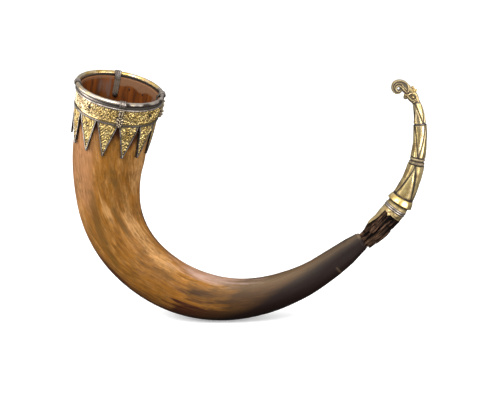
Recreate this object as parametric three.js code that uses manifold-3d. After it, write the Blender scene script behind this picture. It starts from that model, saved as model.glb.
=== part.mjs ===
// Drinking horn: a polished cattle horn with a dagged gilt rim mount and a cast terminal
// that ends in a curled monster's head. Millimetres, +Z up, mouth at the left (-X), front at -Y.
// The origin is the lowest point of the belly.

import * as THREE from "three";
import { mergeVertices } from "three/addons/utils/BufferGeometryUtils.js";
import Module from "manifold-3d";

// Clearance between neighbouring pieces
const FIT = 0.3;

// Horn: the bends follow the centre line from the foot of the dags to the tip. Each gives its part
// of that length, its turn in degrees, and the horn's width where it ends, from 1 at the shoulder
// below the dags to 0 at the tip.
const MOUTH_DIAMETER = 83;
const SHOULDER_DIAMETER = 74.4;
const TIP_DIAMETER = 17.2;
const CURVE_LENGTH = 402; // from the foot of the dags to the tip
const HORN_BENDS = [
  { part: 12, turn: 17, width: 0.839 },
  { part: 14, turn: 35.5, width: 0.717 },
  { part: 13, turn: 28.5, width: 0.612 },
  { part: 13, turn: 28, width: 0.4475 },
  { part: 16, turn: 29, width: 0.241 },
  { part: 12.4, turn: 3, width: 0 },
];
const MOUTH_HEADING = -12.5; // degrees from straight down towards +X
const MOUTH_LEAN = 9.5; // degrees that the mouth leans to the front
const LEAN_RUN = 200; // length over which that lean dies out
const HORN_WALL = 3.2; // at the lip
const SOLID_TIP = 132; // length of horn that isn't hollow
const CAVITY_END_DIAMETER = 21;
const CAVITY_CROWN = 11; // length of the hollow's rounded end

// Rim mount
const ROLL_DIAMETER = 4.6;
const ROLL_GAP = 1.7; // between the horn's lip and the roll
const ROLL_SEAM = 1.5; // depth of the seam that grips the band
const BAND_HEIGHT = 19.5; // below the lip
const BAND_WALL = 0.9;
const FILLET_DROP = 1.4; // below the lip
const FILLET_HEIGHT = 2.4;
const FILLET_DEPTH = 1.4;
const EDGE_WIRE_HEIGHT = 1.8;
const EDGE_WIRE_DEPTH = 1.1;

// Dags: triangular plates with raised edges and a bead at the tip
const DAG_COUNT = 12;
const DAG_LENGTH = 31.5;
const DAG_SPACING = 1.2;
const DAG_WALL = 0.9;
const DAG_EDGE_WIDTH = 1.3;
const DAG_EDGE_HEIGHT = 0.7;
const DAG_TIP_WIDTH = 3;
const DAG_BEAD_DIAMETER = 3.4;
const DAG_TO_BEND = 4; // straight horn left below the beads
const DAG_LEANS = [-1.5, -3.5, -6, 0, 0, 0, 0, 0, 0, 6, 4.5, 0]; // degrees at each hand-cut tip

// Clips over the rim
const CLIP_NAMES = ["front", "right", "back", "left"];
const BARE_CLIP = "left"; // this one keeps no cast leaf
const CLIP_ANGLE = 11; // degrees of the front clip from the front towards +X
const STRAP_WIDTH = 5;
const STRAP_WALL = 0.9;
const STRAP_RIDGE = 0.5;
const SADDLE_WIDTH = 6.8; // over the roll
const STRAP_END = 1.1; // outside, below the lip
const LEAF_WIDTH = 6.4;
const LEAF_DEPTH = 3;
const LEAF_TAIL = 1; // below the band's edge
const RIVET_DIAMETER = 2.2;
const RIVET_HEAD_DIAMETER = 4.8;
const RIVET_HEAD_HEIGHT = 1.5;
const RIVET_RISE = 2.3; // above the band's lower edge
const LEG_BELOW_RIVET = 1.8;
const NAIL_DIAMETER = 1.8;
const NAIL_HEAD_DIAMETER = 3.2;
const NAIL_HEAD_HEIGHT = 0.9;
const NAIL_DROP = 8.5; // below the lip

// Terminal, along the centre line from the horn's end. Its bends share out its length by their parts.
const TERMINAL_BENDS = [
  { part: 42, turn: 13.5 },
  { part: 18, turn: 10 },
  { part: 80, turn: 33.5 },
  { part: 25.2, turn: 12.6 },
];
const TENON_DIAMETER = 8;
const TENON_LENGTH = 24;
const WOOD_LENGTH = 40.3;
const WOOD_FOOT_DIAMETER = 19.5;
const WOOD_DIAMETER = 22.4;
const WOOD_GRAIN = 0.7; // depth of the splintered grain
const WOOD_WEAR = 1; // lost on the inside of the curve
const SOCKET_LIP_LENGTH = 4;
const SOCKET_LIP_DIAMETER = 24.6;
const SOCKET_DIAMETER = 21.8;
const SOCKET_WALL = 1;
const TONGUE_LENGTH = 24;
const TONGUE_WIDTH = 8;
const TONGUE_WALL = 0.8;
const SOCKET_WIRE_LENGTH = 4.4;
const SOCKET_WIRE_DIAMETER = 24.8;
const COVE_LENGTH = 3.6;
const KNOP_LENGTH = 7.4;
const KNOP_DIAMETER = 27;
const KNOP_BEVEL = 2.2;
const CONE_LENGTH = 37;
const CONE_BASE_DIAMETER = 22.2;
const CONE_TOP_DIAMETER = 17.4;
const COLLAR_LENGTH = 7.4;
const COLLAR_DIAMETER = 16.2;
const STEM_LENGTH = 33.5;
const STEM_BASE_DIAMETER = 15.6;
const STEM_TOP_DIAMETER = 13;
const STEM_RING_LENGTH = 2.8;
const STEM_RING_DIAMETER = 11.4;
const NECK_LENGTH = 19.4;
const NECK_BASE_DIAMETER = 12.4;
const NECK_TOP_DIAMETER = 8.6;
const NECK_RING_LENGTH = 3;
const NECK_RING_DIAMETER = 9;
const FACET_FLAT = 0.86; // radius at the middle of a flat, against the radius at its corners
const TUBE_WALL = 1;
const SPIGOT_LENGTH = 5;

// Monster's head
const HEAD_THICKNESS = 8.6;
const HEAD_ROUND = 1.6;
const EYE_DIAMETER = 4.6;
const EYE_PLACE = new THREE.Vector2(-2, 5.4);
const JAW_DIAMETER = 5;
const JAW_PLACE = new THREE.Vector2(-8, 7.4);
const EAR_PLACE = new THREE.Vector2(3.8, 10.5);
const CREST_PLACE = new THREE.Vector2(1.2, 15.7);
const VOLUTE_PLACE = new THREE.Vector2(-13.2, 18.4);
const VOLUTE_RADIUS = 10.6;
const VOLUTE_END_RADIUS = 4;
const VOLUTE_START = 10; // degrees
const VOLUTE_TURN = 320; // degrees
const VOLUTE_HOLE_DIAMETER = 2.6;
const VOLUTE_THICKNESS = 7;

// Facets
const HORN_SEGMENTS = 28;
const RIM_SEGMENTS = 36;
const TIP_SEGMENTS = 16;
const HORN_RING_STEP = 18;
const CAVITY_RING_STEP = 27;
const CENTRE_LINE_STEP = 0.5;

const DEG = Math.PI / 180;
const wasm = await Module();
wasm.setup();

const MATERIALS = {
  horn: { color: 0x9c6631, roughness: 0.3, metalness: 0 },
  gilt: { color: 0xc9a85a, roughness: 0.32, metalness: 1 },
  silver: { color: 0x8d8078, roughness: 0.4, metalness: 1 },
  iron: { color: 0x1f1a17, roughness: 0.7, metalness: 0.6 },
  wood: { color: 0x3a2b20, roughness: 0.85, metalness: 0 },
};

function piece(name, geometry, material) {
  const shown = geometry.index ? geometry.toNonIndexed() : geometry;
  shown.computeVertexNormals();
  const mesh = new THREE.Mesh(shown, new THREE.MeshStandardMaterial(MATERIALS[material]));
  mesh.name = name;
  return mesh;
}

// A closed surface with its faces turned outwards.
function closedSurface(points, triangles) {
  const a = new THREE.Vector3();
  const volume = triangles.reduce((sum, [i, j, k]) => {
    return sum + a.crossVectors(points[i], points[j]).dot(points[k]);
  }, 0);
  const turned = volume < 0 ? triangles.map(([i, j, k]) => [i, k, j]) : triangles;
  return new THREE.BufferGeometry().setFromPoints(points).setIndex(turned.flat());
}

// A skin over rings of equal count. A ring of one point closes an end, and a loop joins the last
// ring to the first.
function skin(rings, loop = false) {
  const starts = rings.map((_, i) => rings.slice(0, i).reduce((n, ring) => n + ring.length, 0));
  const triangles = [];
  const last = loop ? rings.length : rings.length - 1;
  for (let i = 0; i < last; i++) {
    const j = (i + 1) % rings.length;
    const count = Math.max(rings[i].length, rings[j].length);
    const corner = (ring, k) => starts[ring] + (k % rings[ring].length);
    for (let k = 0; k < count; k++) {
      if (rings[i].length > 1) triangles.push([corner(i, k), corner(i, k + 1), corner(j, k)]);
      if (rings[j].length > 1) triangles.push([corner(i, k + 1), corner(j, k + 1), corner(j, k)]);
    }
  }
  return closedSurface(rings.flat(), triangles);
}

function centreOf(ring) {
  const sum = ring.reduce((total, p) => total.add(p), new THREE.Vector3());
  return sum.divideScalar(ring.length);
}

// A skin with both ends closed.
function loft(rings) {
  return skin([[centreOf(rings[0])], ...rings, [centreOf(rings[rings.length - 1])]]);
}

// A closed profile of [radius, height] turned about Z.
function turnedRing(profile, segments) {
  const rings = profile.map(([radius, height]) => {
    return Array.from({ length: segments }, (_, k) => {
      const angle = (k / segments) * 2 * Math.PI;
      return new THREE.Vector3(radius * Math.sin(angle), -radius * Math.cos(angle), height);
    });
  });
  return skin(rings, true);
}

function solidOf(geometry) {
  const bare = new THREE.BufferGeometry();
  bare.setAttribute("position", geometry.getAttribute("position"));
  bare.setIndex(geometry.index);
  const merged = mergeVertices(bare, 1e-4);
  return new wasm.Manifold(
    new wasm.Mesh({
      numProp: 3,
      vertProperties: new Float32Array(merged.getAttribute("position").array),
      triVerts: new Uint32Array(merged.index.array),
    }),
  );
}

function geometryOf(solid) {
  const { vertProperties, triVerts } = solid.getMesh();
  const geometry = new THREE.BufferGeometry();
  geometry.setAttribute("position", new THREE.BufferAttribute(vertProperties, 3));
  return geometry.setIndex(new THREE.BufferAttribute(triVerts, 1));
}

function joined(...geometries) {
  return geometryOf(geometries.map(solidOf).reduce((all, next) => all.add(next)));
}

function cut(geometry, ...cutters) {
  return geometryOf(cutters.map(solidOf).reduce((left, next) => left.subtract(next), solidOf(geometry)));
}

// The mouth end of the horn is straight under the rim mount
const straightRun = BAND_HEIGHT + FIT + DAG_LENGTH + DAG_BEAD_DIAMETER + DAG_TO_BEND;
const hornLength = straightRun + CURVE_LENGTH;

// Terminal stations along the centre line
const woodStart = hornLength + FIT;
const lipStart = hornLength + WOOD_LENGTH;
const wireStart = lipStart + SOCKET_LIP_LENGTH + FIT;
const knopStart = wireStart + SOCKET_WIRE_LENGTH + COVE_LENGTH;
const coneStart = knopStart + KNOP_LENGTH + FIT;
const collarStart = coneStart + CONE_LENGTH + FIT;
const stemStart = collarStart + COLLAR_LENGTH + FIT;
const stemRingStart = stemStart + STEM_LENGTH + FIT;
const neckStart = stemRingStart + STEM_RING_LENGTH + FIT;
const neckRingStart = neckStart + NECK_LENGTH + FIT;
const headStart = neckRingStart + NECK_RING_LENGTH + FIT;

// Centre line of the horn and its terminal
const hornBends = bendsOver(CURVE_LENGTH, HORN_BENDS);
const terminalBends = bendsOver(headStart - hornLength, TERMINAL_BENDS);
const centreLine = traceCentreLine();

// Bends with the run that each takes of a length, by its part.
function bendsOver(length, bends) {
  const parts = bends.reduce((sum, bend) => sum + bend.part, 0);
  return bends.map((bend) => ({ ...bend, run: (length * bend.part) / parts }));
}

function traceCentreLine() {
  const samples = [];
  const place = new THREE.Vector3();
  let heading = MOUTH_HEADING * DEG;
  let station = 0;
  for (const bend of [{ run: straightRun, turn: 0 }, ...hornBends, ...terminalBends]) {
    const steps = Math.ceil(bend.run / CENTRE_LINE_STEP);
    for (let i = 0; i < steps; i++) {
      const fade = 1 - Math.max(0, station - straightRun) / LEAN_RUN;
      const lean = MOUTH_LEAN * DEG * Math.max(0, fade) ** 2;
      const tangent = new THREE.Vector3(Math.sin(heading), Math.tan(lean), -Math.cos(heading));
      samples.push({ station, place: place.clone(), tangent: tangent.normalize() });
      place.addScaledVector(tangent, bend.run / steps);
      heading += (bend.turn * DEG) / steps;
      station += bend.run / steps;
    }
  }
  return samples;
}

// The centre line's frame: along it, to its back, and to the inside of its curve.
function frameAt(station) {
  const after = centreLine.findIndex((sample) => sample.station > station);
  const sample = centreLine[after < 0 ? centreLine.length - 1 : Math.max(0, after - 1)];
  const along = sample.tangent;
  const place = sample.place.clone().addScaledVector(along, station - sample.station);
  const back = new THREE.Vector3(0, 1, 0).addScaledVector(along, -along.y).normalize();
  const inside = new THREE.Vector3().crossVectors(along, back);
  return { place, along, back, inside };
}

// A point beside the centre line. Angle 0 is the front, a quarter turn is the inside of the curve.
function beside(station, radius, angle) {
  const { place, back, inside } = frameAt(station);
  return place
    .addScaledVector(back, -radius * Math.cos(angle))
    .addScaledVector(inside, radius * Math.sin(angle));
}

function ringBeside(station, radius, segments) {
  if (radius === 0) return [frameAt(station).place];
  return Array.from({ length: segments }, (_, k) => {
    const angle = (k / segments) * 2 * Math.PI;
    return beside(station, typeof radius === "function" ? radius(angle) : radius, angle);
  });
}

// A profile of [station, radius] turned about the bent centre line.
function turnedAlong(profile, segments, loop = false) {
  return skin(profile.map(([station, radius]) => ringBeside(station, radius, segments)), loop);
}

// Horn radius: a true cone under the rim mount, then a smooth taper through the bends' diameters
const mouthRadius = MOUTH_DIAMETER / 2;
const coneSlope = (mouthRadius - SHOULDER_DIAMETER / 2) / straightRun;
const taperKnots = [{ station: straightRun, radius: SHOULDER_DIAMETER / 2 }];
for (const bend of hornBends) {
  const before = taperKnots[taperKnots.length - 1].station;
  const diameter = TIP_DIAMETER + (SHOULDER_DIAMETER - TIP_DIAMETER) * bend.width;
  taperKnots.push({ station: before + bend.run, radius: diameter / 2 });
}

function taperSlope(i) {
  if (i === 0) return -coneSlope;
  const a = taperKnots[i - 1];
  const b = taperKnots[Math.min(i + 1, taperKnots.length - 1)];
  return (b.radius - a.radius) / (b.station - a.station);
}

function hornRadius(station) {
  if (station <= straightRun) return mouthRadius - coneSlope * station;
  const found = taperKnots.findIndex((knot) => knot.station >= station);
  const end = found < 0 ? taperKnots.length - 1 : found;
  const a = taperKnots[end - 1];
  const b = taperKnots[end];
  const run = b.station - a.station;
  const t = (station - a.station) / run;
  const rise = t * t * (3 - 2 * t);
  const leave = t * (1 - t) ** 2 * run * taperSlope(end - 1);
  const arrive = t * t * (t - 1) * run * taperSlope(end);
  return a.radius + (b.radius - a.radius) * rise + leave + arrive;
}

const cavityDepth = hornLength - SOLID_TIP;
const floorWall = hornRadius(cavityDepth) - CAVITY_END_DIAMETER / 2;

function cavityRadius(station) {
  const thicken = (Math.max(0, station) / cavityDepth) ** 2;
  return hornRadius(station) - HORN_WALL - (floorWall - HORN_WALL) * thicken;
}

// Station of the belly's lowest point
const underside = ({ station, place }) => place.z - hornRadius(station);
const bellyStation = centreLine
  .filter((sample) => sample.station < hornLength)
  .reduce((low, sample) => (underside(sample) < underside(low) ? sample : low)).station;

// Rim frame: +Z out of the mouth, front at -Y. Heights count up from the horn's lip.
const mouth = frameAt(0);
const mouthAcross = new THREE.Vector3().crossVectors(mouth.back, mouth.along.clone().negate());
const mouthMatrix = new THREE.Matrix4()
  .makeBasis(mouthAcross, mouth.back, mouth.along.clone().negate())
  .setPosition(mouth.place);

const bandSeat = (height) => mouthRadius + coneSlope * height + FIT;
const bandFace = (height) => bandSeat(height) + BAND_WALL;
const bandMiddle = (height) => bandSeat(height) + BAND_WALL / 2;
const rollRadius = ROLL_DIAMETER / 2;
const rollHeight = ROLL_GAP + rollRadius;
const rollCentre = bandMiddle(rollHeight);
const seamTop = ROLL_GAP + ROLL_SEAM;
const bandTop = seamTop - FIT;
const filletFoot = -FILLET_DROP - FILLET_HEIGHT;
const wireTop = EDGE_WIRE_HEIGHT - BAND_HEIGHT;
const rivetDrop = BAND_HEIGHT - RIVET_RISE;
const dagTop = -BAND_HEIGHT - FIT;
const clipAngles = CLIP_NAMES.map((_, k) => CLIP_ANGLE + k * 90);
const nailAngles = clipAngles.map((angle) => angle + 45);

// A round pin, hole or head that points out from the mouth's axis at a height and an angle.
function radialRod(diameter, from, to, height, angle, segments) {
  const rod = new THREE.CylinderGeometry(diameter / 2, diameter / 2, to - from, segments);
  rod.translate(0, -(from + to) / 2, height);
  return rod.rotateZ(angle * DEG);
}

// Holes for the rivets and nails, from well inside the horn's wall to well outside the mount.
const insideWall = 0.6 * mouthRadius;
const outsideMount = 1.2 * mouthRadius;

function wallHoles() {
  const hole = (diameter, drop, angle) => {
    return radialRod(diameter + 2 * FIT, insideWall, outsideMount, -drop, angle, 8);
  };
  return [
    ...clipAngles.map((angle) => hole(RIVET_DIAMETER, rivetDrop, angle)),
    ...nailAngles.map((angle) => hole(NAIL_DIAMETER, NAIL_DROP, angle)),
  ];
}

function hornBody() {
  const stationsTo = (end, step) => {
    const count = Math.ceil(end / step);
    return Array.from({ length: count + 1 }, (_, i) => (end * i) / count);
  };
  const crown = [90, 60, 30].map((angle) => {
    const radius = angle === 90 ? 0 : (CAVITY_END_DIAMETER / 2) * Math.cos(angle * DEG);
    return [cavityDepth + CAVITY_CROWN * Math.sin(angle * DEG), radius];
  });
  const inner = stationsTo(cavityDepth, CAVITY_RING_STEP).reverse();
  const outer = [...stationsTo(hornLength, HORN_RING_STEP), bellyStation].sort((a, b) => a - b);
  const boreRadius = TENON_DIAMETER / 2 + FIT;
  const boreEnd = hornLength - TENON_LENGTH - FIT;
  const profile = [
    ...crown,
    ...inner.map((station) => [station, cavityRadius(station)]),
    ...outer.map((station) => [station, hornRadius(station)]),
    [hornLength, boreRadius],
    [boreEnd, boreRadius],
    [boreEnd, 0],
  ];
  const shell = turnedAlong(profile, HORN_SEGMENTS);
  const holes = wallHoles().map((hole) => hole.applyMatrix4(mouthMatrix));
  return cut(shell, ...holes);
}

// Roll: a heavy wire with a seam below that grips the band's top edge.
function rimRoll() {
  const seamHalf = BAND_WALL / 2 + FIT;
  const open = Math.asin(seamHalf / rollRadius);
  const arcSteps = 7;
  const profile = Array.from({ length: arcSteps + 1 }, (_, i) => {
    const angle = -Math.PI / 2 + open + ((2 * Math.PI - 2 * open) * i) / arcSteps;
    return [rollCentre + rollRadius * Math.cos(angle), rollHeight + rollRadius * Math.sin(angle)];
  });
  profile.push([rollCentre - seamHalf, seamTop], [rollCentre + seamHalf, seamTop]);
  return turnedRing(profile, RIM_SEGMENTS);
}

function rimBand() {
  const sheet = turnedRing(
    [
      [bandSeat(-BAND_HEIGHT), -BAND_HEIGHT],
      [bandFace(-BAND_HEIGHT), -BAND_HEIGHT],
      [bandFace(bandTop), bandTop],
      [bandSeat(bandTop), bandTop],
    ],
    RIM_SEGMENTS,
  );
  return cut(sheet, ...wallHoles());
}

// A half-round moulding on the band between two heights, with one or more swells.
function bandMoulding(foot, height, depth, swells) {
  const face = (at) => bandFace(at) + FIT;
  const profile = [
    [face(foot + height), foot + height],
    [face(foot), foot],
  ];
  const swellSteps = 2;
  for (let i = 0; i < swells; i++) {
    for (let k = i === 0 ? 0 : 1; k <= swellSteps; k++) {
      const rise = (i + k / swellSteps) / swells;
      const bulge = 0.35 + 0.65 * Math.sin((Math.PI * k) / swellSteps);
      const at = foot + height * rise;
      profile.push([face(at) + depth * bulge, at]);
    }
  }
  return turnedRing(profile, RIM_SEGMENTS);
}

// A dag hangs from the band's edge and follows the horn's cone: a tray with raised edges that
// narrows to a beaded tip. Each section runs along the back and returns over the face.
function dag(angle, lean) {
  const onCone = (across, lift, height) => {
    const seat = bandSeat(height);
    const turn = (angle + (lean * (dagTop - height)) / DAG_LENGTH) * DEG + across / seat;
    return new THREE.Vector3(
      (seat + lift) * Math.sin(turn),
      -(seat + lift) * Math.cos(turn),
      height,
    );
  };
  const topWidth = (2 * Math.PI * bandSeat(dagTop)) / DAG_COUNT - DAG_SPACING;
  const edgeLift = DAG_WALL + DAG_EDGE_HEIGHT;
  const section = (drop, halfWidth, floorLift) => {
    const inner = Math.max(halfWidth - DAG_EDGE_WIDTH, 0.3 * halfWidth);
    const floor = 0.85 * inner;
    const back = [-1, -1 / 3, 1 / 3, 1].map((share) => [share * halfWidth, 0]);
    const face = [
      [halfWidth, edgeLift],
      [inner, edgeLift],
      [floor, floorLift],
      [0, floorLift],
      [-floor, floorLift],
      [-inner, edgeLift],
      [-halfWidth, edgeLift],
    ];
    return [...back, ...face].map(([across, lift]) => onCone(across, lift, dagTop - drop));
  };
  const halfWidthAt = (drop) => (topWidth + ((DAG_TIP_WIDTH - topWidth) * drop) / DAG_LENGTH) / 2;
  const floorEnd = DAG_LENGTH - 2.2 * DAG_EDGE_WIDTH;
  const beadRadius = DAG_BEAD_DIAMETER / 2;
  return loft([
    section(0, halfWidthAt(0), edgeLift),
    section(0.6 * DAG_EDGE_WIDTH, halfWidthAt(0.6 * DAG_EDGE_WIDTH), edgeLift),
    section(DAG_EDGE_WIDTH, halfWidthAt(DAG_EDGE_WIDTH), DAG_WALL),
    section(floorEnd / 2, halfWidthAt(floorEnd / 2), DAG_WALL),
    section(floorEnd, halfWidthAt(floorEnd), DAG_WALL),
    section(DAG_LENGTH, halfWidthAt(DAG_LENGTH), edgeLift),
    section(DAG_LENGTH + 0.9 * beadRadius, beadRadius, edgeLift + 0.3 * beadRadius),
    section(DAG_LENGTH + 2 * beadRadius, 0.45 * beadRadius, edgeLift),
  ]);
}

// Face of the horn's inside that the clips' legs lie on, at the middle of its facets
const legSeat = (height) => cavityRadius(-height) * Math.cos(Math.PI / HORN_SEGMENTS) - FIT;

// A strap runs up the inside of the horn, over the roll and down to the top of the fillet.
// Its path lists [distance from the mouth's axis, height, width] along its seat.
function clipStrap() {
  const grip = rollRadius + 1.4 * FIT;
  const saddle = [180, 150, 120, 90, 60, 30, 0].map((degrees) => {
    const angle = degrees * DEG;
    return [rollCentre + grip * Math.cos(angle), rollHeight + grip * Math.sin(angle), SADDLE_WIDTH];
  });
  const clearLip = 2 * FIT;
  const legFoot = -rivetDrop - LEG_BELOW_RIVET;
  const legShoulder = legFoot + 0.4 * STRAP_WIDTH;
  const path = [
    [legSeat(legFoot), legFoot, 0.7 * STRAP_WIDTH],
    [legSeat(legShoulder), legShoulder, STRAP_WIDTH],
    [legSeat(legFoot / 2), legFoot / 2, STRAP_WIDTH],
    [legSeat(clearLip), clearLip, STRAP_WIDTH],
    ...saddle,
    [rollCentre + grip, 0.5 * ROLL_GAP, STRAP_WIDTH],
    [rollCentre + grip, 0.2 * ROLL_GAP, SADDLE_WIDTH],
    [rollCentre + grip, -STRAP_END, SADDLE_WIDTH],
  ];
  const crest = STRAP_WALL + STRAP_RIDGE;
  const rings = path.map(([out, height, width], i) => {
    const [outBefore, heightBefore] = path[Math.max(0, i - 1)];
    const [outAfter, heightAfter] = path[Math.min(path.length - 1, i + 1)];
    const slope = Math.atan2(heightAfter - heightBefore, outAfter - outBefore) + Math.PI / 2;
    const section = [
      [-1 / 2, 0],
      [1 / 2, 0],
      [1 / 2, STRAP_WALL],
      [1 / 3, crest],
      [1 / 6, STRAP_WALL],
      [0, crest],
      [-1 / 6, STRAP_WALL],
      [-1 / 3, crest],
      [-1 / 2, STRAP_WALL],
    ];
    return section.map(([share, lift]) => {
      const outAt = out + lift * Math.cos(slope);
      return new THREE.Vector3(share * width, -outAt, height + lift * Math.sin(slope));
    });
  });
  const hole = radialRod(RIVET_DIAMETER + 2 * FIT, insideWall, mouthRadius, -rivetDrop, 0, 8);
  return cut(loft(rings), hole);
}

// A cast leaf lies on the band under each strap: a ridged stalk, then three pairs of lobes.
// It is modelled flat, face to +Z and stalk to +Y. Its stalk steps over the fillet and its tail
// over the edge wire.
const leafTop = -STRAP_END - FIT;
const leafLength = leafTop + BAND_HEIGHT + LEAF_TAIL;
const leafTilt = Math.atan(coneSlope);

function clipLeaf() {
  const wireStep = wireTop + FIT - leafTop;
  const overWire = EDGE_WIRE_DEPTH + 2 * FIT;
  const lobe = (x, y, z, width, length, depth, turn) => {
    const ball = new THREE.SphereGeometry(1, 6, 4);
    ball.scale(width / 2, length / 2, depth).rotateZ(turn * DEG);
    return ball.translate(x, y, z);
  };
  const stalkLength = 0.42 * leafLength;
  const lobeRows = 3;
  const rowStep = (leafLength - stalkLength) / (lobeRows + 0.4);
  const spineWidth = 0.34 * LEAF_WIDTH;
  const tailLength = 1.5 * (leafLength + wireStep);
  const parts = [
    lobe(0, -leafLength / 2, 0, spineWidth, leafLength, LEAF_DEPTH, 0),
    lobe(0, tailLength / 2 - leafLength, overWire, spineWidth, tailLength, 0.6 * LEAF_DEPTH, 0),
  ];
  for (const side of [-1, 1]) {
    const stalkX = side * 0.2 * LEAF_WIDTH;
    const stalkY = -stalkLength / 2;
    parts.push(lobe(stalkX, stalkY, 0, 0.4 * LEAF_WIDTH, stalkLength, 1.15 * LEAF_DEPTH, 0));
    for (let row = 0; row < lobeRows; row++) {
      const y = -stalkLength - (row + 0.5) * rowStep;
      const size = LEAF_WIDTH * (1 - 0.14 * row);
      const z = y < wireStep ? overWire : 0;
      const depth = LEAF_DEPTH * (y < wireStep ? 0.5 : 0.85);
      parts.push(lobe(side * 0.26 * size, y, z, 0.36 * size, 0.62 * size, depth, -side * 40));
    }
  }
  const slab = (top, thickness) => {
    const box = new THREE.BoxGeometry(3 * LEAF_WIDTH, 2 * leafLength, thickness + 2 * LEAF_DEPTH);
    return box.translate(0, top - leafLength, thickness / 2 - LEAF_DEPTH);
  };
  const filletStep = slab(2 * leafLength + filletFoot - FIT - leafTop, FILLET_DEPTH + 2 * FIT);
  return cut(joined(...parts), slab(leafLength, 0), slab(wireStep, overWire), filletStep);
}

// A rivet holds the strap's leg, the horn and the band. Its domed head is inside.
function clipRivet() {
  const legFace = legSeat(-rivetDrop) - STRAP_WALL - STRAP_RIDGE - FIT;
  const end = bandFace(-rivetDrop);
  const dome = new THREE.SphereGeometry(1, 10, 6);
  dome.scale(RIVET_HEAD_DIAMETER / 2, RIVET_HEAD_HEIGHT, RIVET_HEAD_DIAMETER / 2);
  dome.translate(0, -legFace, -rivetDrop);
  const reach = 2 * RIVET_HEAD_DIAMETER;
  const bench = new THREE.BoxGeometry(reach, reach, reach);
  bench.translate(0, -legFace - reach / 2, -rivetDrop);
  const shank = radialRod(RIVET_DIAMETER, legFace - RIVET_HEAD_HEIGHT / 2, end, -rivetDrop, 0, 10);
  return joined(cut(dome, bench), shank);
}

function bandNail() {
  const face = bandFace(-NAIL_DROP) + FIT;
  const point = cavityRadius(NAIL_DROP) + FIT;
  const shank = radialRod(NAIL_DIAMETER, point, face + NAIL_HEAD_HEIGHT / 2, -NAIL_DROP, 0, 8);
  const head = radialRod(NAIL_HEAD_DIAMETER, face, face + NAIL_HEAD_HEIGHT, -NAIL_DROP, 0, 10);
  return joined(shank, head);
}

const socketBore = SOCKET_DIAMETER / 2 - SOCKET_WALL;
const boreOf = (diameter) => (FACET_FLAT * diameter) / 2 - TUBE_WALL;
const spigotIn = (nearDiameter, farDiameter, length) => {
  const far = nearDiameter + ((farDiameter - nearDiameter) * SPIGOT_LENGTH) / length;
  return boreOf(Math.min(nearDiameter, far)) - FIT;
};
const coneSpigot = spigotIn(CONE_BASE_DIAMETER, CONE_TOP_DIAMETER, CONE_LENGTH);
const socketEnd = coneStart + SPIGOT_LENGTH;

function woodRadius(station) {
  const share = Math.min(1, (station - woodStart) / (0.5 * WOOD_LENGTH));
  return (WOOD_FOOT_DIAMETER + (WOOD_DIAMETER - WOOD_FOOT_DIAMETER) * share) / 2;
}

// Splintered grain: shallow ridges that run along the wood, worn down on the inside of the curve.
function grainAt(angle) {
  const ridges = 0.5 * Math.sin(5 * angle) + 0.5 * Math.sin(8 * angle + 1);
  return WOOD_GRAIN * ridges - WOOD_WEAR * Math.sin(angle);
}

// Wooden plug: a tenon in the horn's end, a splintered body and a core inside the socket.
function tipPlug() {
  const body = [0, 0.12, 0.4, 0.7, 0.98].map((share) => woodStart + share * (WOOD_LENGTH - 2 * FIT));
  const coreRadius = socketBore - FIT;
  const noseRadius = coneSpigot - SOCKET_WALL - FIT;
  const profile = [
    [hornLength - TENON_LENGTH, 0],
    [hornLength - TENON_LENGTH, TENON_DIAMETER / 2],
    [woodStart, TENON_DIAMETER / 2],
    ...body.map((station) => [station, (angle) => woodRadius(station) + grainAt(angle)]),
    [lipStart - FIT, coreRadius],
    [coneStart - SOCKET_WALL - 2 * FIT, coreRadius],
    [coneStart - SOCKET_WALL - 2 * FIT, noseRadius],
    [socketEnd, noseRadius],
    [socketEnd, 0],
  ];
  return turnedAlong(profile, TIP_SEGMENTS);
}

// Socket: a sheet sleeve with a lip, a spigot for the cone and a torn tongue along the wood.
function tipSocket() {
  const neck = SOCKET_DIAMETER / 2;
  const lip = SOCKET_LIP_DIAMETER / 2;
  const sleeve = turnedAlong(
    [
      [lipStart, socketBore],
      [lipStart, lip - 0.4 * (lip - neck)],
      [lipStart + 0.3 * SOCKET_LIP_LENGTH, lip],
      [lipStart + 0.7 * SOCKET_LIP_LENGTH, lip],
      [lipStart + SOCKET_LIP_LENGTH, neck],
      [coneStart - FIT, neck],
      [coneStart - FIT, coneSpigot],
      [socketEnd, coneSpigot],
      [socketEnd, coneSpigot - SOCKET_WALL],
      [coneStart - FIT - SOCKET_WALL, coneSpigot - SOCKET_WALL],
      [coneStart - FIT - SOCKET_WALL, socketBore],
    ],
    TIP_SEGMENTS,
    true,
  );
  const tongueAngle = 75 * DEG;
  const tongueRing = (station, seat, share) => {
    const spread = ((1 - 0.75 * share ** 2) * TONGUE_WIDTH) / 2 / seat;
    const turns = [-1, -0.5, 0, 0.5, 1].map((side) => tongueAngle + side * spread);
    const under = turns.map((turn) => beside(station, seat, turn));
    const over = turns.map((turn) => beside(station, seat + TONGUE_WALL, turn));
    return [...under, ...over.reverse()];
  };
  const tongue = [0, 0.25, 0.5, 0.75, 1].map((share) => {
    const station = lipStart - FIT - share * TONGUE_LENGTH;
    return tongueRing(station, woodRadius(station) + WOOD_GRAIN - 0.8 * WOOD_WEAR + FIT, share);
  });
  const root = tongueRing(lipStart + 0.5 * SOCKET_LIP_LENGTH, lip - TONGUE_WALL, 0);
  return joined(sleeve, loft([root, ...tongue]));
}

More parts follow.
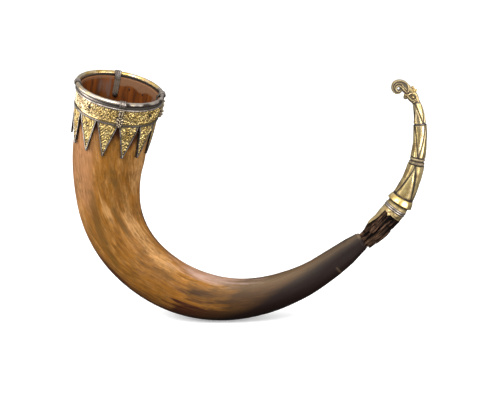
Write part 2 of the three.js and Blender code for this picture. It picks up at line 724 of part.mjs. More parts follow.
// A ring on the socket's neck with beads side by side.
function socketWire() {
  const bore = SOCKET_DIAMETER / 2 + FIT;
  const crest = SOCKET_WIRE_DIAMETER / 2;
  const valley = crest - 0.3 * (crest - bore);
  const half = SOCKET_WIRE_LENGTH / 2;
  return turnedAlong(
    [
      [wireStart, bore],
      [wireStart, valley],
      [wireStart + 0.5 * half, crest],
      [wireStart + half, valley],
      [wireStart + 1.5 * half, crest],
      [wireStart + 2 * half, valley],
      [wireStart + 2 * half, bore],
    ],
    TIP_SEGMENTS,
    true,
  );
}

function tipKnop() {
  const bore = SOCKET_DIAMETER / 2 + FIT;
  const crest = KNOP_DIAMETER / 2;
  const knopEnd = knopStart + KNOP_LENGTH - FIT;
  const brow = Math.max(crest - KNOP_BEVEL, bore + FIT);
  return turnedAlong(
    [
      [knopStart, bore],
      [knopStart, brow],
      [knopStart + 0.32 * KNOP_LENGTH, crest],
      [knopStart + 0.52 * KNOP_LENGTH, crest],
      [knopEnd, brow],
      [knopEnd, bore],
    ],
    TIP_SEGMENTS,
    true,
  );
}

// A four-sided tube whose corners turn to flats from one end to the other, so that its faces are
// tall darts, points up and down by turns.
function dartTube(start, length, baseDiameter, topDiameter, cornerFirst) {
  const sides = 16;
  const sideAngle = (2 * Math.PI) / sides;
  const steps = 3;
  const outer = [];
  const inner = [];
  for (let i = 0; i <= steps; i++) {
    const share = i / steps;
    const diameter = baseDiameter + (topDiameter - baseDiameter) * share;
    const corner = diameter / 2;
    const flat = corner * FACET_FLAT;
    const turning = [corner + (flat - corner) * share, flat + (corner - flat) * share];
    const [even, odd] = cornerFirst ? turning : turning.reverse();
    const between = (2 * even * odd * Math.cos(sideAngle)) / (even + odd);
    const radii = [even, between, odd, between];
    const station = start + share * length;
    outer.push(radii.flatMap((_, k) => {
      return [0, 1, 2, 3].map((turn) => beside(station, radii[turn], (4 * k + turn) * sideAngle));
    }));
    inner.push(ringBeside(station, boreOf(diameter) / Math.cos(sideAngle / 2), sides));
  }
  return skin([...outer, ...inner.reverse()], true);
}

// A turned joint between two tubes: a spigot into each, and a moulding between them.
function joint(start, length, moulding, footSpigot, headSpigot) {
  const end = start + length;
  const profile = [[start - SPIGOT_LENGTH, 0]];
  profile.push([start - SPIGOT_LENGTH, footSpigot], [start, footSpigot]);
  moulding.forEach(([share, radius]) => profile.push([start + share * length, radius]));
  profile.push([end, headSpigot], [end + SPIGOT_LENGTH, headSpigot], [end + SPIGOT_LENGTH, 0]);
  return turnedAlong(profile, TIP_SEGMENTS);
}

function midCollar() {
  const wide = COLLAR_DIAMETER / 2;
  const narrow = STEM_BASE_DIAMETER / 2;
  const moulding = [
    [0, 0.92 * wide],
    [0.2, wide],
    [0.42, wide],
    [0.52, 0.9 * narrow],
    [0.66, narrow],
    [0.86, narrow],
    [1, 0.9 * narrow],
  ];
  const foot = spigotIn(CONE_TOP_DIAMETER, CONE_BASE_DIAMETER, CONE_LENGTH);
  const head = spigotIn(STEM_BASE_DIAMETER, STEM_TOP_DIAMETER, STEM_LENGTH);
  return joint(collarStart, COLLAR_LENGTH, moulding, foot, head);
}

const beadMoulding = (diameter) => [
  [0, 0.44 * diameter],
  [0.25, 0.5 * diameter],
  [0.75, 0.5 * diameter],
  [1, 0.44 * diameter],
];

function stemRing() {
  const foot = spigotIn(STEM_TOP_DIAMETER, STEM_BASE_DIAMETER, STEM_LENGTH);
  const head = spigotIn(NECK_BASE_DIAMETER, NECK_TOP_DIAMETER, NECK_LENGTH);
  const moulding = beadMoulding(STEM_RING_DIAMETER);
  return joint(stemRingStart, STEM_RING_LENGTH, moulding, foot, head);
}

const headSpigot = spigotIn(NECK_TOP_DIAMETER, NECK_BASE_DIAMETER, NECK_LENGTH);

function neckRing() {
  const moulding = beadMoulding(NECK_RING_DIAMETER);
  return joint(neckRingStart, NECK_RING_LENGTH, moulding, headSpigot, headSpigot);
}

// Monster's head in its own plane: x to the right of the photograph's view, y along the neck,
// z to the front. Its snout curls back into a volute with a small open eye.
function pointOfVolute(share) {
  const radius = VOLUTE_RADIUS + (VOLUTE_END_RADIUS - VOLUTE_RADIUS) * share;
  const angle = (VOLUTE_START + share * VOLUTE_TURN) * DEG;
  const arm = new THREE.Vector2(Math.cos(angle), Math.sin(angle));
  return VOLUTE_PLACE.clone().addScaledVector(arm, radius);
}

function monsterHead() {
  const rounded = (shape, thickness) => {
    const plate = new THREE.ExtrudeGeometry(shape, {
      depth: thickness - 2 * HEAD_ROUND,
      bevelThickness: HEAD_ROUND,
      bevelSize: HEAD_ROUND,
      bevelOffset: -HEAD_ROUND,
      bevelSegments: 2,
      curveSegments: 5,
    });
    return plate.translate(0, 0, HEAD_ROUND - thickness / 2);
  };
  const halfNeck = NECK_TOP_DIAMETER / 2;
  const skull = new THREE.Shape();
  skull.moveTo(halfNeck, 0);
  const nape = new THREE.Vector2(EAR_PLACE.x - 0.3, EAR_PLACE.y - 1.6);
  const throat = new THREE.Vector2(JAW_PLACE.x + 1.2, 1.2);
  const snout = pointOfVolute(0);
  const inVolute = VOLUTE_PLACE.clone().add(new THREE.Vector2(0.4, 0.35).multiplyScalar(VOLUTE_RADIUS));
  const lip = VOLUTE_PLACE.clone().add(new THREE.Vector2(0.32, -0.3).multiplyScalar(VOLUTE_RADIUS));
  skull.splineThru([new THREE.Vector2(halfNeck, EAR_PLACE.y / 3), nape]);
  skull.lineTo(EAR_PLACE.x, EAR_PLACE.y);
  skull.lineTo(CREST_PLACE.x + 0.4, CREST_PLACE.y - 2.4);
  skull.lineTo(CREST_PLACE.x, CREST_PLACE.y);
  skull.lineTo(CREST_PLACE.x - 1.8, CREST_PLACE.y + 1.2);
  skull.lineTo(snout.x, snout.y);
  skull.lineTo(inVolute.x, inVolute.y);
  skull.lineTo(lip.x, lip.y);
  skull.lineTo(JAW_PLACE.x - 0.6, JAW_PLACE.y + 3.6);
  skull.splineThru([new THREE.Vector2(JAW_PLACE.x, JAW_PLACE.y - 2.7), throat]);
  skull.lineTo(-halfNeck, 0);
  const voluteSteps = 20;
  const volute = new THREE.Shape();
  volute.setFromPoints(
    Array.from({ length: voluteSteps + 1 }, (_, i) => pointOfVolute(i / voluteSteps)),
  );
  const hole = new THREE.CylinderGeometry(
    VOLUTE_HOLE_DIAMETER / 2,
    VOLUTE_HOLE_DIAMETER / 2,
    2 * HEAD_THICKNESS,
    10,
  );
  hole.rotateX(Math.PI / 2).translate(VOLUTE_PLACE.x, VOLUTE_PLACE.y, 0);
  const eyes = new THREE.SphereGeometry(EYE_DIAMETER / 2, 10, 6);
  eyes.scale(1, 1, (HEAD_THICKNESS + EYE_DIAMETER / 2) / EYE_DIAMETER);
  eyes.translate(EYE_PLACE.x, EYE_PLACE.y, 0);
  const jaw = new THREE.SphereGeometry(JAW_DIAMETER / 2, 8, 6);
  jaw.translate(JAW_PLACE.x, JAW_PLACE.y, 0);
  const bore = new THREE.CylinderGeometry(headSpigot + FIT, headSpigot + FIT, 2 * SPIGOT_LENGTH, 12);
  const head = joined(rounded(skull, HEAD_THICKNESS), rounded(volute, VOLUTE_THICKNESS), eyes, jaw);
  return cut(head, hole, bore);
}

// Rim mount, in the mouth's frame
const rimMount = new THREE.Group();
mouthMatrix.decompose(rimMount.position, rimMount.quaternion, rimMount.scale);
rimMount.add(piece("rim_roll", rimRoll(), "gilt"));
rimMount.add(piece("rim_band", rimBand(), "gilt"));
const fillet = bandMoulding(filletFoot, FILLET_HEIGHT, FILLET_DEPTH, 1);
rimMount.add(piece("rim_fillet", fillet, "silver"));
const edgeWire = bandMoulding(-BAND_HEIGHT, EDGE_WIRE_HEIGHT, EDGE_WIRE_DEPTH, 2);
rimMount.add(piece("band_edge_wire", edgeWire, "silver"));

for (let k = 0; k < DAG_COUNT; k++) {
  const name = "dag_" + String(k + 1).padStart(2, "0");
  const middle = CLIP_ANGLE + ((k + 0.5) * 360) / DAG_COUNT;
  rimMount.add(piece(name, dag(middle, DAG_LEANS[k % DAG_LEANS.length]), "gilt"));
}

CLIP_NAMES.forEach((name, k) => {
  const clip = new THREE.Group();
  clip.rotation.z = clipAngles[k] * DEG;
  clip.add(piece("clip_strap_" + name, clipStrap(), "silver"));
  clip.add(piece("clip_rivet_" + name, clipRivet(), "iron"));
  if (name !== BARE_CLIP) {
    const leaf = piece("clip_leaf_" + name, clipLeaf(), "gilt");
    leaf.position.set(0, -bandFace(leafTop) - FIT, leafTop);
    leaf.rotation.x = Math.PI / 2 - leafTilt;
    clip.add(leaf);
  }
  rimMount.add(clip);
});

nailAngles.forEach((angle, k) => {
  const nail = piece("band_nail_" + (k + 1), bandNail(), "iron");
  nail.rotation.z = angle * DEG;
  rimMount.add(nail);
});

// Terminal, on the centre line
const terminal = new THREE.Group();
terminal.add(piece("tip_plug", tipPlug(), "wood"));
terminal.add(piece("tip_socket", tipSocket(), "gilt"));
terminal.add(piece("socket_wire", socketWire(), "silver"));
terminal.add(piece("tip_knop", tipKnop(), "gilt"));
const cone = dartTube(coneStart, CONE_LENGTH, CONE_BASE_DIAMETER, CONE_TOP_DIAMETER, false);
terminal.add(piece("tip_cone", cone, "gilt"));
terminal.add(piece("mid_collar", midCollar(), "silver"));
const stem = dartTube(stemStart, STEM_LENGTH, STEM_BASE_DIAMETER, STEM_TOP_DIAMETER, true);
terminal.add(piece("stem_tube", stem, "gilt"));
terminal.add(piece("stem_ring", stemRing(), "silver"));
const neck = dartTube(neckStart, NECK_LENGTH, NECK_BASE_DIAMETER, NECK_TOP_DIAMETER, false);
terminal.add(piece("neck_tube", neck, "gilt"));
terminal.add(piece("neck_ring", neckRing(), "silver"));

const head = piece("monster_head", monsterHead(), "gilt");
const headFrame = frameAt(headStart);
const headAcross = headFrame.inside.clone().negate();
const headFront = new THREE.Vector3().crossVectors(headAcross, headFrame.along);
head.quaternion.setFromRotationMatrix(
  new THREE.Matrix4().makeBasis(headAcross, headFrame.along, headFront),
);
head.position.copy(headFrame.place);
terminal.add(head);

// The whole horn, set with the lowest point of its belly at the origin
const horn = piece("horn_body", hornBody(), "horn");
const drinkingHorn = new THREE.Group();
drinkingHorn.add(horn, rimMount, terminal);
const outsideOfCurve = 1.5 * Math.PI;
const belly = beside(bellyStation, hornRadius(bellyStation), outsideOfCurve);
drinkingHorn.children.forEach((child) => child.position.sub(belly));

export default drinkingHorn;
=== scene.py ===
import math

import bpy
import numpy as np
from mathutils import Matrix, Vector


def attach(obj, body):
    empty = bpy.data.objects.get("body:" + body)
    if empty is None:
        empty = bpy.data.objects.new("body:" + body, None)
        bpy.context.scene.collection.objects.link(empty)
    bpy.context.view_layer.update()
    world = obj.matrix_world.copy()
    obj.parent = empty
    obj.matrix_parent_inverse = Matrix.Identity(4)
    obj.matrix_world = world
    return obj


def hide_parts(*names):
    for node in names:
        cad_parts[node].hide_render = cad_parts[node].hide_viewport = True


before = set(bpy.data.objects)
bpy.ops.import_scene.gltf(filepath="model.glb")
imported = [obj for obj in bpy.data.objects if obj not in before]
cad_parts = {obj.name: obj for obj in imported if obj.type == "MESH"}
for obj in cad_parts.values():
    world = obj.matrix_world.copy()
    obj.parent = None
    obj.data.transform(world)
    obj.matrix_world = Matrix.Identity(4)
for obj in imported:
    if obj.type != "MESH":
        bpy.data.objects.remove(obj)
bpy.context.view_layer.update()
fullTurn = 2 * math.pi
print("frame loaded with", len(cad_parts), "nodes")

# The horn's own line in millimetres: straight under the rim mount, then bends of (part, turn in degrees)
# that share out a length by their parts.
hornLine = {
    "straight": 58.7,
    "curve": 402,
    "curveBends": [(12, 17), (14, 35.5), (13, 28.5), (13, 28), (16, 29), (12.4, 3)],
    "terminal": 165.2,
    "terminalBends": [(42, 13.5), (18, 10), (80, 33.5), (25.2, 12.6)],
    "heading": -12.5,
    "lean": 9.5,
    "leanRun": 200,
    "step": 0.5,
}
hornTip = hornLine["straight"] + hornLine["curve"]

# Outer radius of the horn at the lip, under the dags and at the tip, and the share of the taper that is
# left where each bend ends.
hornTaper = {"lip": 41.5, "shoulder": 37.2, "tip": 8.6, "widths": [1, 0.839, 0.717, 0.612, 0.4475, 0.241, 0]}


def unit(value):
    # held between 0 and 1
    return np.clip(value, 0, 1)


def smooth(low, high, value):
    # an S-shaped step from 0 at low to 1 at high
    share = unit((value - low) / (high - low))
    return share * share * (3 - 2 * share)


def spanned(rise, fall, value):
    # 1 between an S-shaped step up and one back down
    return smooth(*rise, value) * (1 - smooth(*fall, value))


def bump(value, middle, width):
    # a bell curve of height 1
    return np.exp(-(((value - middle) / width) ** 2))


def most(*shares):
    # the greatest of several shares at each place
    total = shares[0]
    for share in shares[1:]:
        total = np.maximum(total, share)
    return total


def ripple(seed, length, *axes):
    # unevenness from about -1 to 1: a sum of eight waves of seeded directions, near to this length
    random = np.random.default_rng(seed)
    total = 0
    for wave in range(8):
        turns = random.normal(size=len(axes)) * 3.6 / length
        total = total + np.sin(sum(t * axis for t, axis in zip(turns, axes)) + random.uniform(0, fullTurn))
    return total / 4


def ringAngles(count):
    # angles spread evenly round a circle
    return np.linspace(0, fullTurn, count, endpoint=False)


def crosswise(radius, angle):
    # the sine and cosine parts of a radius
    return radius * np.sin(angle), radius * np.cos(angle)


def fromFront(angle):
    # degrees round from the front, between -180 and 180
    return (np.degrees(angle) + 180) % 360 - 180


def bendEnds():
    # stations and headings where the bends end
    stations = [0, hornLine["straight"]]
    headings = [hornLine["heading"], hornLine["heading"]]
    for run, bends in (("curve", "curveBends"), ("terminal", "terminalBends")):
        parts = sum(part for part, turn in hornLine[bends])
        for part, turn in hornLine[bends]:
            stations.append(stations[-1] + hornLine[run] * part / parts)
            headings.append(headings[-1] + turn)
    return np.array(stations), np.array(headings)


bendStations, bendHeadings = bendEnds()
lineStations = np.arange(0, bendStations[-1] + 10, hornLine["step"])
lineHeadings = np.radians(np.interp(lineStations, bendStations, bendHeadings))
leanFade = np.clip(1 - np.clip(lineStations - hornLine["straight"], 0, None) / hornLine["leanRun"], 0, None)
lineLeans = np.radians(hornLine["lean"]) * leanFade**2
lineAlong = np.stack([np.sin(lineHeadings), np.tan(lineLeans), -np.cos(lineHeadings)], -1)
lineAlong /= np.linalg.norm(lineAlong, axis=1, keepdims=True)
linePlaces = np.concatenate([np.zeros((1, 3)), np.cumsum(lineAlong[:-1] * hornLine["step"], axis=0)])
lineBack = np.array([0, 1, 0]) - lineAlong * lineAlong[:, 1:2]
lineBack /= np.linalg.norm(lineBack, axis=1, keepdims=True)
lineInside = np.cross(lineAlong, lineBack)


def onLine(table, station):
    # a table's value at any station of the line
    return np.stack([np.interp(station, lineStations, table[:, k]) for k in range(3)], -1)


def hornRadius(station):
    # a cone under the mount, then a cubic through the widths where the bends end
    stations = bendStations[1:8]
    span = hornTaper["shoulder"] - hornTaper["tip"]
    radii = hornTaper["tip"] + span * np.array(hornTaper["widths"])
    cone = (hornTaper["lip"] - hornTaper["shoulder"]) / hornLine["straight"]
    slopes = np.empty_like(radii)
    slopes[1:-1] = (radii[2:] - radii[:-2]) / (stations[2:] - stations[:-2])
    slopes[0] = -cone
    slopes[-1] = (radii[-1] - radii[-2]) / (stations[-1] - stations[-2])
    knot = np.clip(np.searchsorted(stations, station) - 1, 0, len(stations) - 2)
    run = stations[knot + 1] - stations[knot]
    t = unit((station - stations[knot]) / run)
    rise = radii[knot] + (radii[knot + 1] - radii[knot]) * t * t * (3 - 2 * t)
    bend = t * (1 - t) ** 2 * run * slopes[knot] + t * t * (t - 1) * run * slopes[knot + 1]
    return np.where(station <= stations[0], hornTaper["lip"] - cone * station, rise + bend)


# the line is moved so that the lowest point of the belly is at the origin
lowest = np.argmin(np.where(lineStations < hornTip, linePlaces[:, 2] - hornRadius(lineStations), 1e9))
bellyDown = -lineInside[lowest] * hornRadius(lineStations[lowest])
linePlaces = linePlaces - linePlaces[lowest] - bellyDown


def beside(station, radius, angle):
    # a point off the line: angle 0 is the front, a quarter turn is the inside of the curve
    radius = np.asarray(radius)[..., None]
    angle = np.asarray(angle)[..., None]
    sideways = -radius * np.cos(angle) * onLine(lineBack, station)
    return onLine(linePlaces, station) + sideways + radius * np.sin(angle) * onLine(lineInside, station)


def atRim(radius, angle, height):
    # a point about the mouth's axis, at a height above the horn's lip
    radius = np.asarray(radius)[..., None]
    angle = np.asarray(angle)[..., None]
    height = np.asarray(height)[..., None]
    out = radius * np.sin(angle) * lineInside[0] - radius * np.cos(angle) * lineBack[0]
    return linePlaces[0] + out - height * lineAlong[0]


def skin(points, ring=False, **marks):
    # a closed skin over a grid of points: columns join round, and rows join round or end in poles
    rows, columns = points.shape[:2]
    index = np.arange(rows * columns).reshape(rows, columns)
    index = np.concatenate([index, index[:, :1]], axis=1)
    if ring:
        index = np.concatenate([index, index[:1]])
    quads = np.stack([index[:-1, :-1], index[:-1, 1:], index[1:, 1:], index[1:, :-1]], -1).reshape(-1, 4)
    values = {}
    for name, mark in marks.items():
        shape = points.shape if np.ndim(mark) == 3 else points.shape[:2]
        values[name] = np.broadcast_to(mark, shape).reshape(rows * columns, -1)
    corners = points.reshape(-1, 3)
    fans = np.zeros((0, 3), int)
    if not ring:
        first = np.full(columns, rows * columns)
        fans = np.concatenate([
            np.stack([first, index[0, 1:], index[0, :-1]], -1),
            np.stack([first + 1, index[-1, :-1], index[-1, 1:]], -1),
        ])
        corners = np.concatenate([corners, points[:1].mean(1), points[-1:].mean(1)])
        for name, mark in values.items():
            grid = mark.reshape(rows, columns, -1)
            values[name] = np.concatenate([mark, grid[:1].mean(1), grid[-1:].mean(1)])
    triangles = np.concatenate([quads[:, :3], quads[:, [0, 2, 3]], fans])
    a, b, c = (corners[triangles[:, k]] - corners.mean(0) for k in range(3))
    if np.sum(np.cross(a, b) * c) < 0:
        quads, fans = quads[:, ::-1], fans[:, ::-1]
    return {"points": corners, "quads": quads, "fans": fans, "marks": values}


def addPiece(name, skins, finish, nodes, crease=38):
    # one mesh from closed skins, with their marks as attributes
    faces = []
    start = 0
    for part in skins:
        faces += (part["quads"] + start).tolist() + (part["fans"] + start).tolist()
        start += len(part["points"])
    mesh = bpy.data.meshes.new(name)
    mesh.from_pydata((np.concatenate([part["points"] for part in skins]) * 0.001).tolist(), [], faces)
    for mark in skins[0]["marks"]:
        values = np.concatenate([part["marks"][mark] for part in skins]).astype(np.float32)
        kind, key = ("FLOAT_VECTOR", "vector") if values.shape[1] == 3 else ("FLOAT", "value")
        mesh.attributes.new(mark, kind, "POINT").data.foreach_set(key, values.ravel())
    mesh.shade_smooth()
    mesh.set_sharp_from_angle(angle=math.radians(crease))
    mesh.materials.append(finish)
    piece = bpy.data.objects.new(name, mesh)
    bpy.context.scene.collection.objects.link(piece)
    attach(piece, "root")
    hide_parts(*nodes)
    print("made", name, len(faces), "faces")


def linear(hexCode):
    # an sRGB hex colour as linear red, green, blue, alpha
    share = np.array([int(hexCode[k : k + 2], 16) for k in (1, 3, 5)]) / 255
    return (*np.where(share < 0.04045, share / 12.92, ((share + 0.055) / 1.055) ** 2.4), 1)


def setInputs(tree, node, inputs):
    # each input is linked to a socket or set to a value
    for key, value in inputs.items():
        if isinstance(value, bpy.types.NodeSocket):
            tree.links.new(value, node.inputs[key])
        else:
            node.inputs[key].default_value = value


def addNode(tree, kind, inputs, out=0, **settings):
    # a node with its settings and links, and the socket that it gives out
    node = tree.nodes.new("ShaderNode" + kind)
    for key, value in settings.items():
        setattr(node, key, value)
    setInputs(tree, node, inputs)
    return node.outputs[out]


def startFinish(name):
    # a new material with its node tree and its shader
    finish = bpy.data.materials.new(name)
    finish.use_nodes = True
    return finish, finish.node_tree, finish.node_tree.nodes["Principled BSDF"]


# Polished cattle horn: keratin fibres that lie along the horn with a slow twist, so streaks and stains run
# lengthways, under an old dry polish that shines less than new. Fibre bundles are under 1 mm wide and are
# drawn 1.5 to 5 mm wide to show.
# Some of these colours are painted light: a grey sheen on the upper side towards the tip, a pink-grey sheen
# along the inside of the bend, a lighter inside of the curve by the mouth, and darker shade on the belly, on
# all but the upper side past the bend, and just under the dags.
def polishedHorn():
    colours = {
        "brown": "#855315", "amber": "#9E6924", "line": "#57330E", "pale": "#BF8F58", "pink": "#A06F47",
        "stain": "#5C4018", "maroon": "#32130A", "umber": "#37230F", "black": "#150906", "greyAndSheen": "#65533F",
        "sheen": "#B79B92", "hollow": "#713B10", "hollowDark": "#3A1B08", "hollowGrey": "#6A5246",
        "worn": "#79573E",
    }
    # noises by their width in millimetres and how far they are drawn out along the horn
    grains = {
        "streak": (4.5, 0.13), "fibre": (1.5, 0.05), "cloud": (24, 1), "fleck": (3.0, 0.26),
        "speck": (1.9, 0.3),
    }
    # layers over a ground colour: colour, where it lies, how far streaks break its edge, what thins it and
    # how far
    outer = [
        ("amber", "streak", 0, "cloud", 0.3, 1), ("pale", "fleck", 0, "streak", 0, 0.5),
        ("pink", "pink", 0.15, "cloud", 0.75, 1), ("pale", "pale", 0.35, "fleck", 0.95, 0.6),
        ("stain", "stain", 0.3, "fleck", 0.5, 0.9), ("line", "fibre", 0, "cloud", 0.25, 0.75),
        ("stain", "speck", 0, "cloud", 0.2, 0.65), ("maroon", "maroon", 0.35, "fibre", 0.85, 1),
        ("umber", "umber", 0.2, "fibre", 0.85, 1), ("black", "black", 0.06, "fibre", 1, 0.94),
        ("greyAndSheen", "greyAndSheen", 0, "fibre", 0.65, 1), ("sheen", "sheen", 0.2, "fleck", 0.9, 0.6),
    ]
    inner = [
        ("hollowDark", "streak", 0, "fibre", 0.45, 1), ("hollowGrey", "greyAndSheen", 0.7, "fibre", 0.5, 0.9),
        ("worn", "worn", 0, "fibre", 0.85, 1),
    ]
    finish, tree, shader = startFinish("polishedCattleHorn")
    straight = addNode(tree, "Attribute", {}, "Vector", attribute_name="straight")
    covers = {}
    for mark in ("umber", "black", "greyAndSheen", "pale", "pink", "sheen", "stain", "maroon", "inner", "worn"):
        covers[mark] = addNode(tree, "Attribute", {}, "Fac", attribute_name=mark)
    for name, (width, stretch) in grains.items():
        # the noise's middle is spread from 0 to 1
        along = {0: straight, 1: (1 / width, 1 / width, stretch / width)}
        place = addNode(tree, "VectorMath", along, operation="MULTIPLY")
        grain = {"Vector": place, "Scale": 1, "Detail": 5, "Roughness": 0.62}
        noise = addNode(tree, "TexNoise", grain, "Fac")
        covers[name] = addNode(tree, "MapRange", {"Value": noise, "From Min": 0.38, "From Max": 0.62})
    faces = []
    for ground, layers in (("brown", outer), ("hollow", inner)):
        colour = linear(colours[ground])
        for name, cover, ragged, thin, low, high in layers:
            share = covers[cover]
            if ragged:
                torn = {0: covers["streak"], 1: ragged, 2: share}
                edge = addNode(tree, "Math", torn, operation="MULTIPLY_ADD")
                span = {"Value": edge, "From Min": ragged, "From Max": 0.5 + 0.75 * ragged}
                share = addNode(tree, "MapRange", span)
            veil = addNode(tree, "MapRange", {"Value": covers[thin], "To Min": low, "To Max": high})
            amount = addNode(tree, "Math", {0: share, 1: veil}, operation="MULTIPLY")
            blend = {0: amount, 6: colour, 7: linear(colours[name])}
            colour = addNode(tree, "Mix", blend, 2, data_type="RGBA")
        faces.append(colour)
    colour = addNode(tree, "Mix", {0: covers["inner"], 6: faces[0], 7: faces[1]}, 2, data_type="RGBA")
    rough = addNode(tree, "MapRange", {"Value": covers["fibre"], "To Min": 0.52, "To Max": 0.64})
    relief = addNode(tree, "Bump", {"Height": covers["fibre"], "Strength": 0.4, "Distance": 0.0002})
    setInputs(tree, shader, {"Base Color": colour, "Roughness": rough, "Normal": relief})
    setInputs(tree, shader, {"IOR": 1.54, "Specular IOR Level": 0.15})
    return finish


# Fire-gilt silver sheet, hammered and engraved: warm bright gold on what is raised, brown dirt left in what
# is cut, and bare silver where hands have rubbed the gold away. The dark mark also carries painted shade
# under and between parts and on shaded sides, and the bare mark carries painted highlights on lit sides.
# Gold patches are about 7 mm wide and hammer marks 2.5 mm.
def fireGilt(name, gold, deep):
    finish, tree, shader = startFinish(name)
    place = addNode(tree, "TexCoord", {}, "Object")
    grime = addNode(tree, "Attribute", {}, "Fac", attribute_name="grime")
    bare = addNode(tree, "Attribute", {}, "Fac", attribute_name="bare")
    patch = addNode(tree, "TexNoise", {"Vector": place, "Scale": 1000 / 7, "Detail": 4}, "Fac")
    hammer = addNode(tree, "TexNoise", {"Vector": place, "Scale": 1000 / 2.5, "Detail": 3}, "Fac")
    patchy = addNode(tree, "MapRange", {"Value": patch, "From Min": 0.35, "From Max": 0.65})
    metal = addNode(tree, "Mix", {0: patchy, 6: linear(gold), 7: linear(deep)}, 2, data_type="RGBA")
    worn = addNode(tree, "Mix", {0: bare, 6: metal, 7: linear("#BDB2A7")}, 2, data_type="RGBA")
    dirty = addNode(tree, "Mix", {0: grime, 6: worn, 7: linear("#22160D")}, 2, data_type="RGBA")
    shine = addNode(tree, "MapRange", {"Value": grime, "To Min": 1, "To Max": 0.25})
    rough = addNode(tree, "MapRange", {"Value": grime, "To Min": 0.18, "To Max": 0.7})
    blur = addNode(tree, "Math", {0: patchy, 1: 0.1, 2: rough}, operation="MULTIPLY_ADD")
    relief = addNode(tree, "Bump", {"Height": hammer, "Strength": 0.3, "Distance": 0.0003})
    setInputs(tree, shader, {"Base Color": dirty, "Metallic": shine, "Roughness": blur, "Normal": relief})
    return finish


# Darkened silver: a grey metal with brown-black sulphide tarnish in its hollows, painted shade where shade
# falls, and a rubbed shine on its ridges that is painted brighter on the lit side. Inside the mouth it is
# dulled by pale dry dust, heaviest on the flute ridges, where it also stands in for a highlight. Tarnish
# patches are about 5 mm wide.
def darkenedSilver():
    finish, tree, shader = startFinish("darkenedSilver")
    place = addNode(tree, "TexCoord", {}, "Object")
    grime = addNode(tree, "Attribute", {}, "Fac", attribute_name="grime")
    dust = addNode(tree, "Attribute", {}, "Fac", attribute_name="dust")
    patch = addNode(tree, "TexNoise", {"Vector": place, "Scale": 1000 / 5, "Detail": 5}, "Fac")
    patchy = addNode(tree, "MapRange", {"Value": patch, "From Min": 0.38, "From Max": 0.66})
    metal = addNode(tree, "Mix", {0: patchy, 6: linear("#C2B6AA"), 7: linear("#84776D")}, 2, data_type="RGBA")
    dirty = addNode(tree, "Mix", {0: grime, 6: metal, 7: linear("#1C1613")}, 2, data_type="RGBA")
    dusty = addNode(tree, "Mix", {0: dust, 6: dirty, 7: linear("#6E5C44")}, 2, data_type="RGBA")
    cover = addNode(tree, "Math", {0: grime, 1: dust}, operation="MAXIMUM")
    shine = addNode(tree, "MapRange", {"Value": cover, "To Min": 1, "To Max": 0.3})
    rough = addNode(tree, "MapRange", {"Value": patchy, "To Min": 0.27, "To Max": 0.46})
    relief = addNode(tree, "Bump", {"Height": patch, "Strength": 0.25, "Distance": 0.0003})
    setInputs(tree, shader, {"Base Color": dusty, "Metallic": shine, "Roughness": rough, "Normal": relief})
    return finish


# Blackened wrought iron: a matt scale of oxide, in grains of 1.2 mm, with a brown cast where it has rusted.
def blackenedIron():
    finish, tree, shader = startFinish("blackenedIron")
    place = addNode(tree, "TexCoord", {}, "Object")
    scale = addNode(tree, "TexNoise", {"Vector": place, "Scale": 1000 / 1.2, "Detail": 4}, "Fac")
    rust = addNode(tree, "Mix", {0: scale, 6: linear("#14100E"), 7: linear("#33241A")}, 2, data_type="RGBA")
    relief = addNode(tree, "Bump", {"Height": scale, "Strength": 0.5, "Distance": 0.0002})
    setInputs(tree, shader, {"Base Color": rust, "Metallic": 0.3, "Roughness": 0.55, "Normal": relief})
    return finish


# Old splintered hardwood: dark dry fibres along the grain, 1.3 mm wide so that they show, with black breaks
# that are painted shade, and a painted shadow under the socket's lip.
def splinteredWood():
    finish, tree, shader = startFinish("splinteredWood")
    straight = addNode(tree, "Attribute", {}, "Vector", attribute_name="straight")
    grime = addNode(tree, "Attribute", {}, "Fac", attribute_name="grime")
    long = addNode(tree, "VectorMath", {0: straight, 1: (1, 1, 0.08)}, operation="MULTIPLY")
    fibres = {"Vector": long, "Scale": 1 / 1.3, "Detail": 5, "Roughness": 0.7}
    noise = addNode(tree, "TexNoise", fibres, "Fac")
    grain = addNode(tree, "MapRange", {"Value": noise, "From Min": 0.44, "From Max": 0.62})
    fibre = addNode(tree, "Mix", {0: grain, 6: linear("#0A0503"), 7: linear("#6E523F")}, 2, data_type="RGBA")
    dark = addNode(tree, "Mix", {0: grime, 6: fibre, 7: linear("#080504")}, 2, data_type="RGBA")
    relief = addNode(tree, "Bump", {"Height": grain, "Strength": 0.8, "Distance": 0.0005})
    surface = {"Base Color": dark, "Roughness": 0.8, "Specular IOR Level": 0.06, "Normal": relief}
    setInputs(tree, shader, surface)
    return finish


horn = polishedHorn()
gilt = fireGilt("fireGiltSilver", "#EACF8C", "#B5944F")
rubbedGilt = fireGilt("rubbedGiltSilver", "#F0D68C", "#A58544")
brightGilt = fireGilt("brightGiltSilver", "#EBD59A", "#B99A58")
silver = darkenedSilver()
iron = blackenedIron()
wood = splinteredWood()
print("finishes made")

# Horn: a wall of one thickness at the lip and another at the floor of the hollow.
hornShell = {
    "wall": 3.2, "depth": 328.7, "floor": 10.5, "crown": 11, "lipRound": 0.7, "lipRise": 1.4, "around": 160,
}


def hollowRadius(station):
    # the outer radius less a wall that thickens with the square of the depth
    floorWall = hornRadius(np.array(hornShell["depth"])) - hornShell["floor"]
    thicken = (np.clip(station, 0, None) / hornShell["depth"]) ** 2
    return hornRadius(station) - hornShell["wall"] - (floorWall - hornShell["wall"]) * thicken


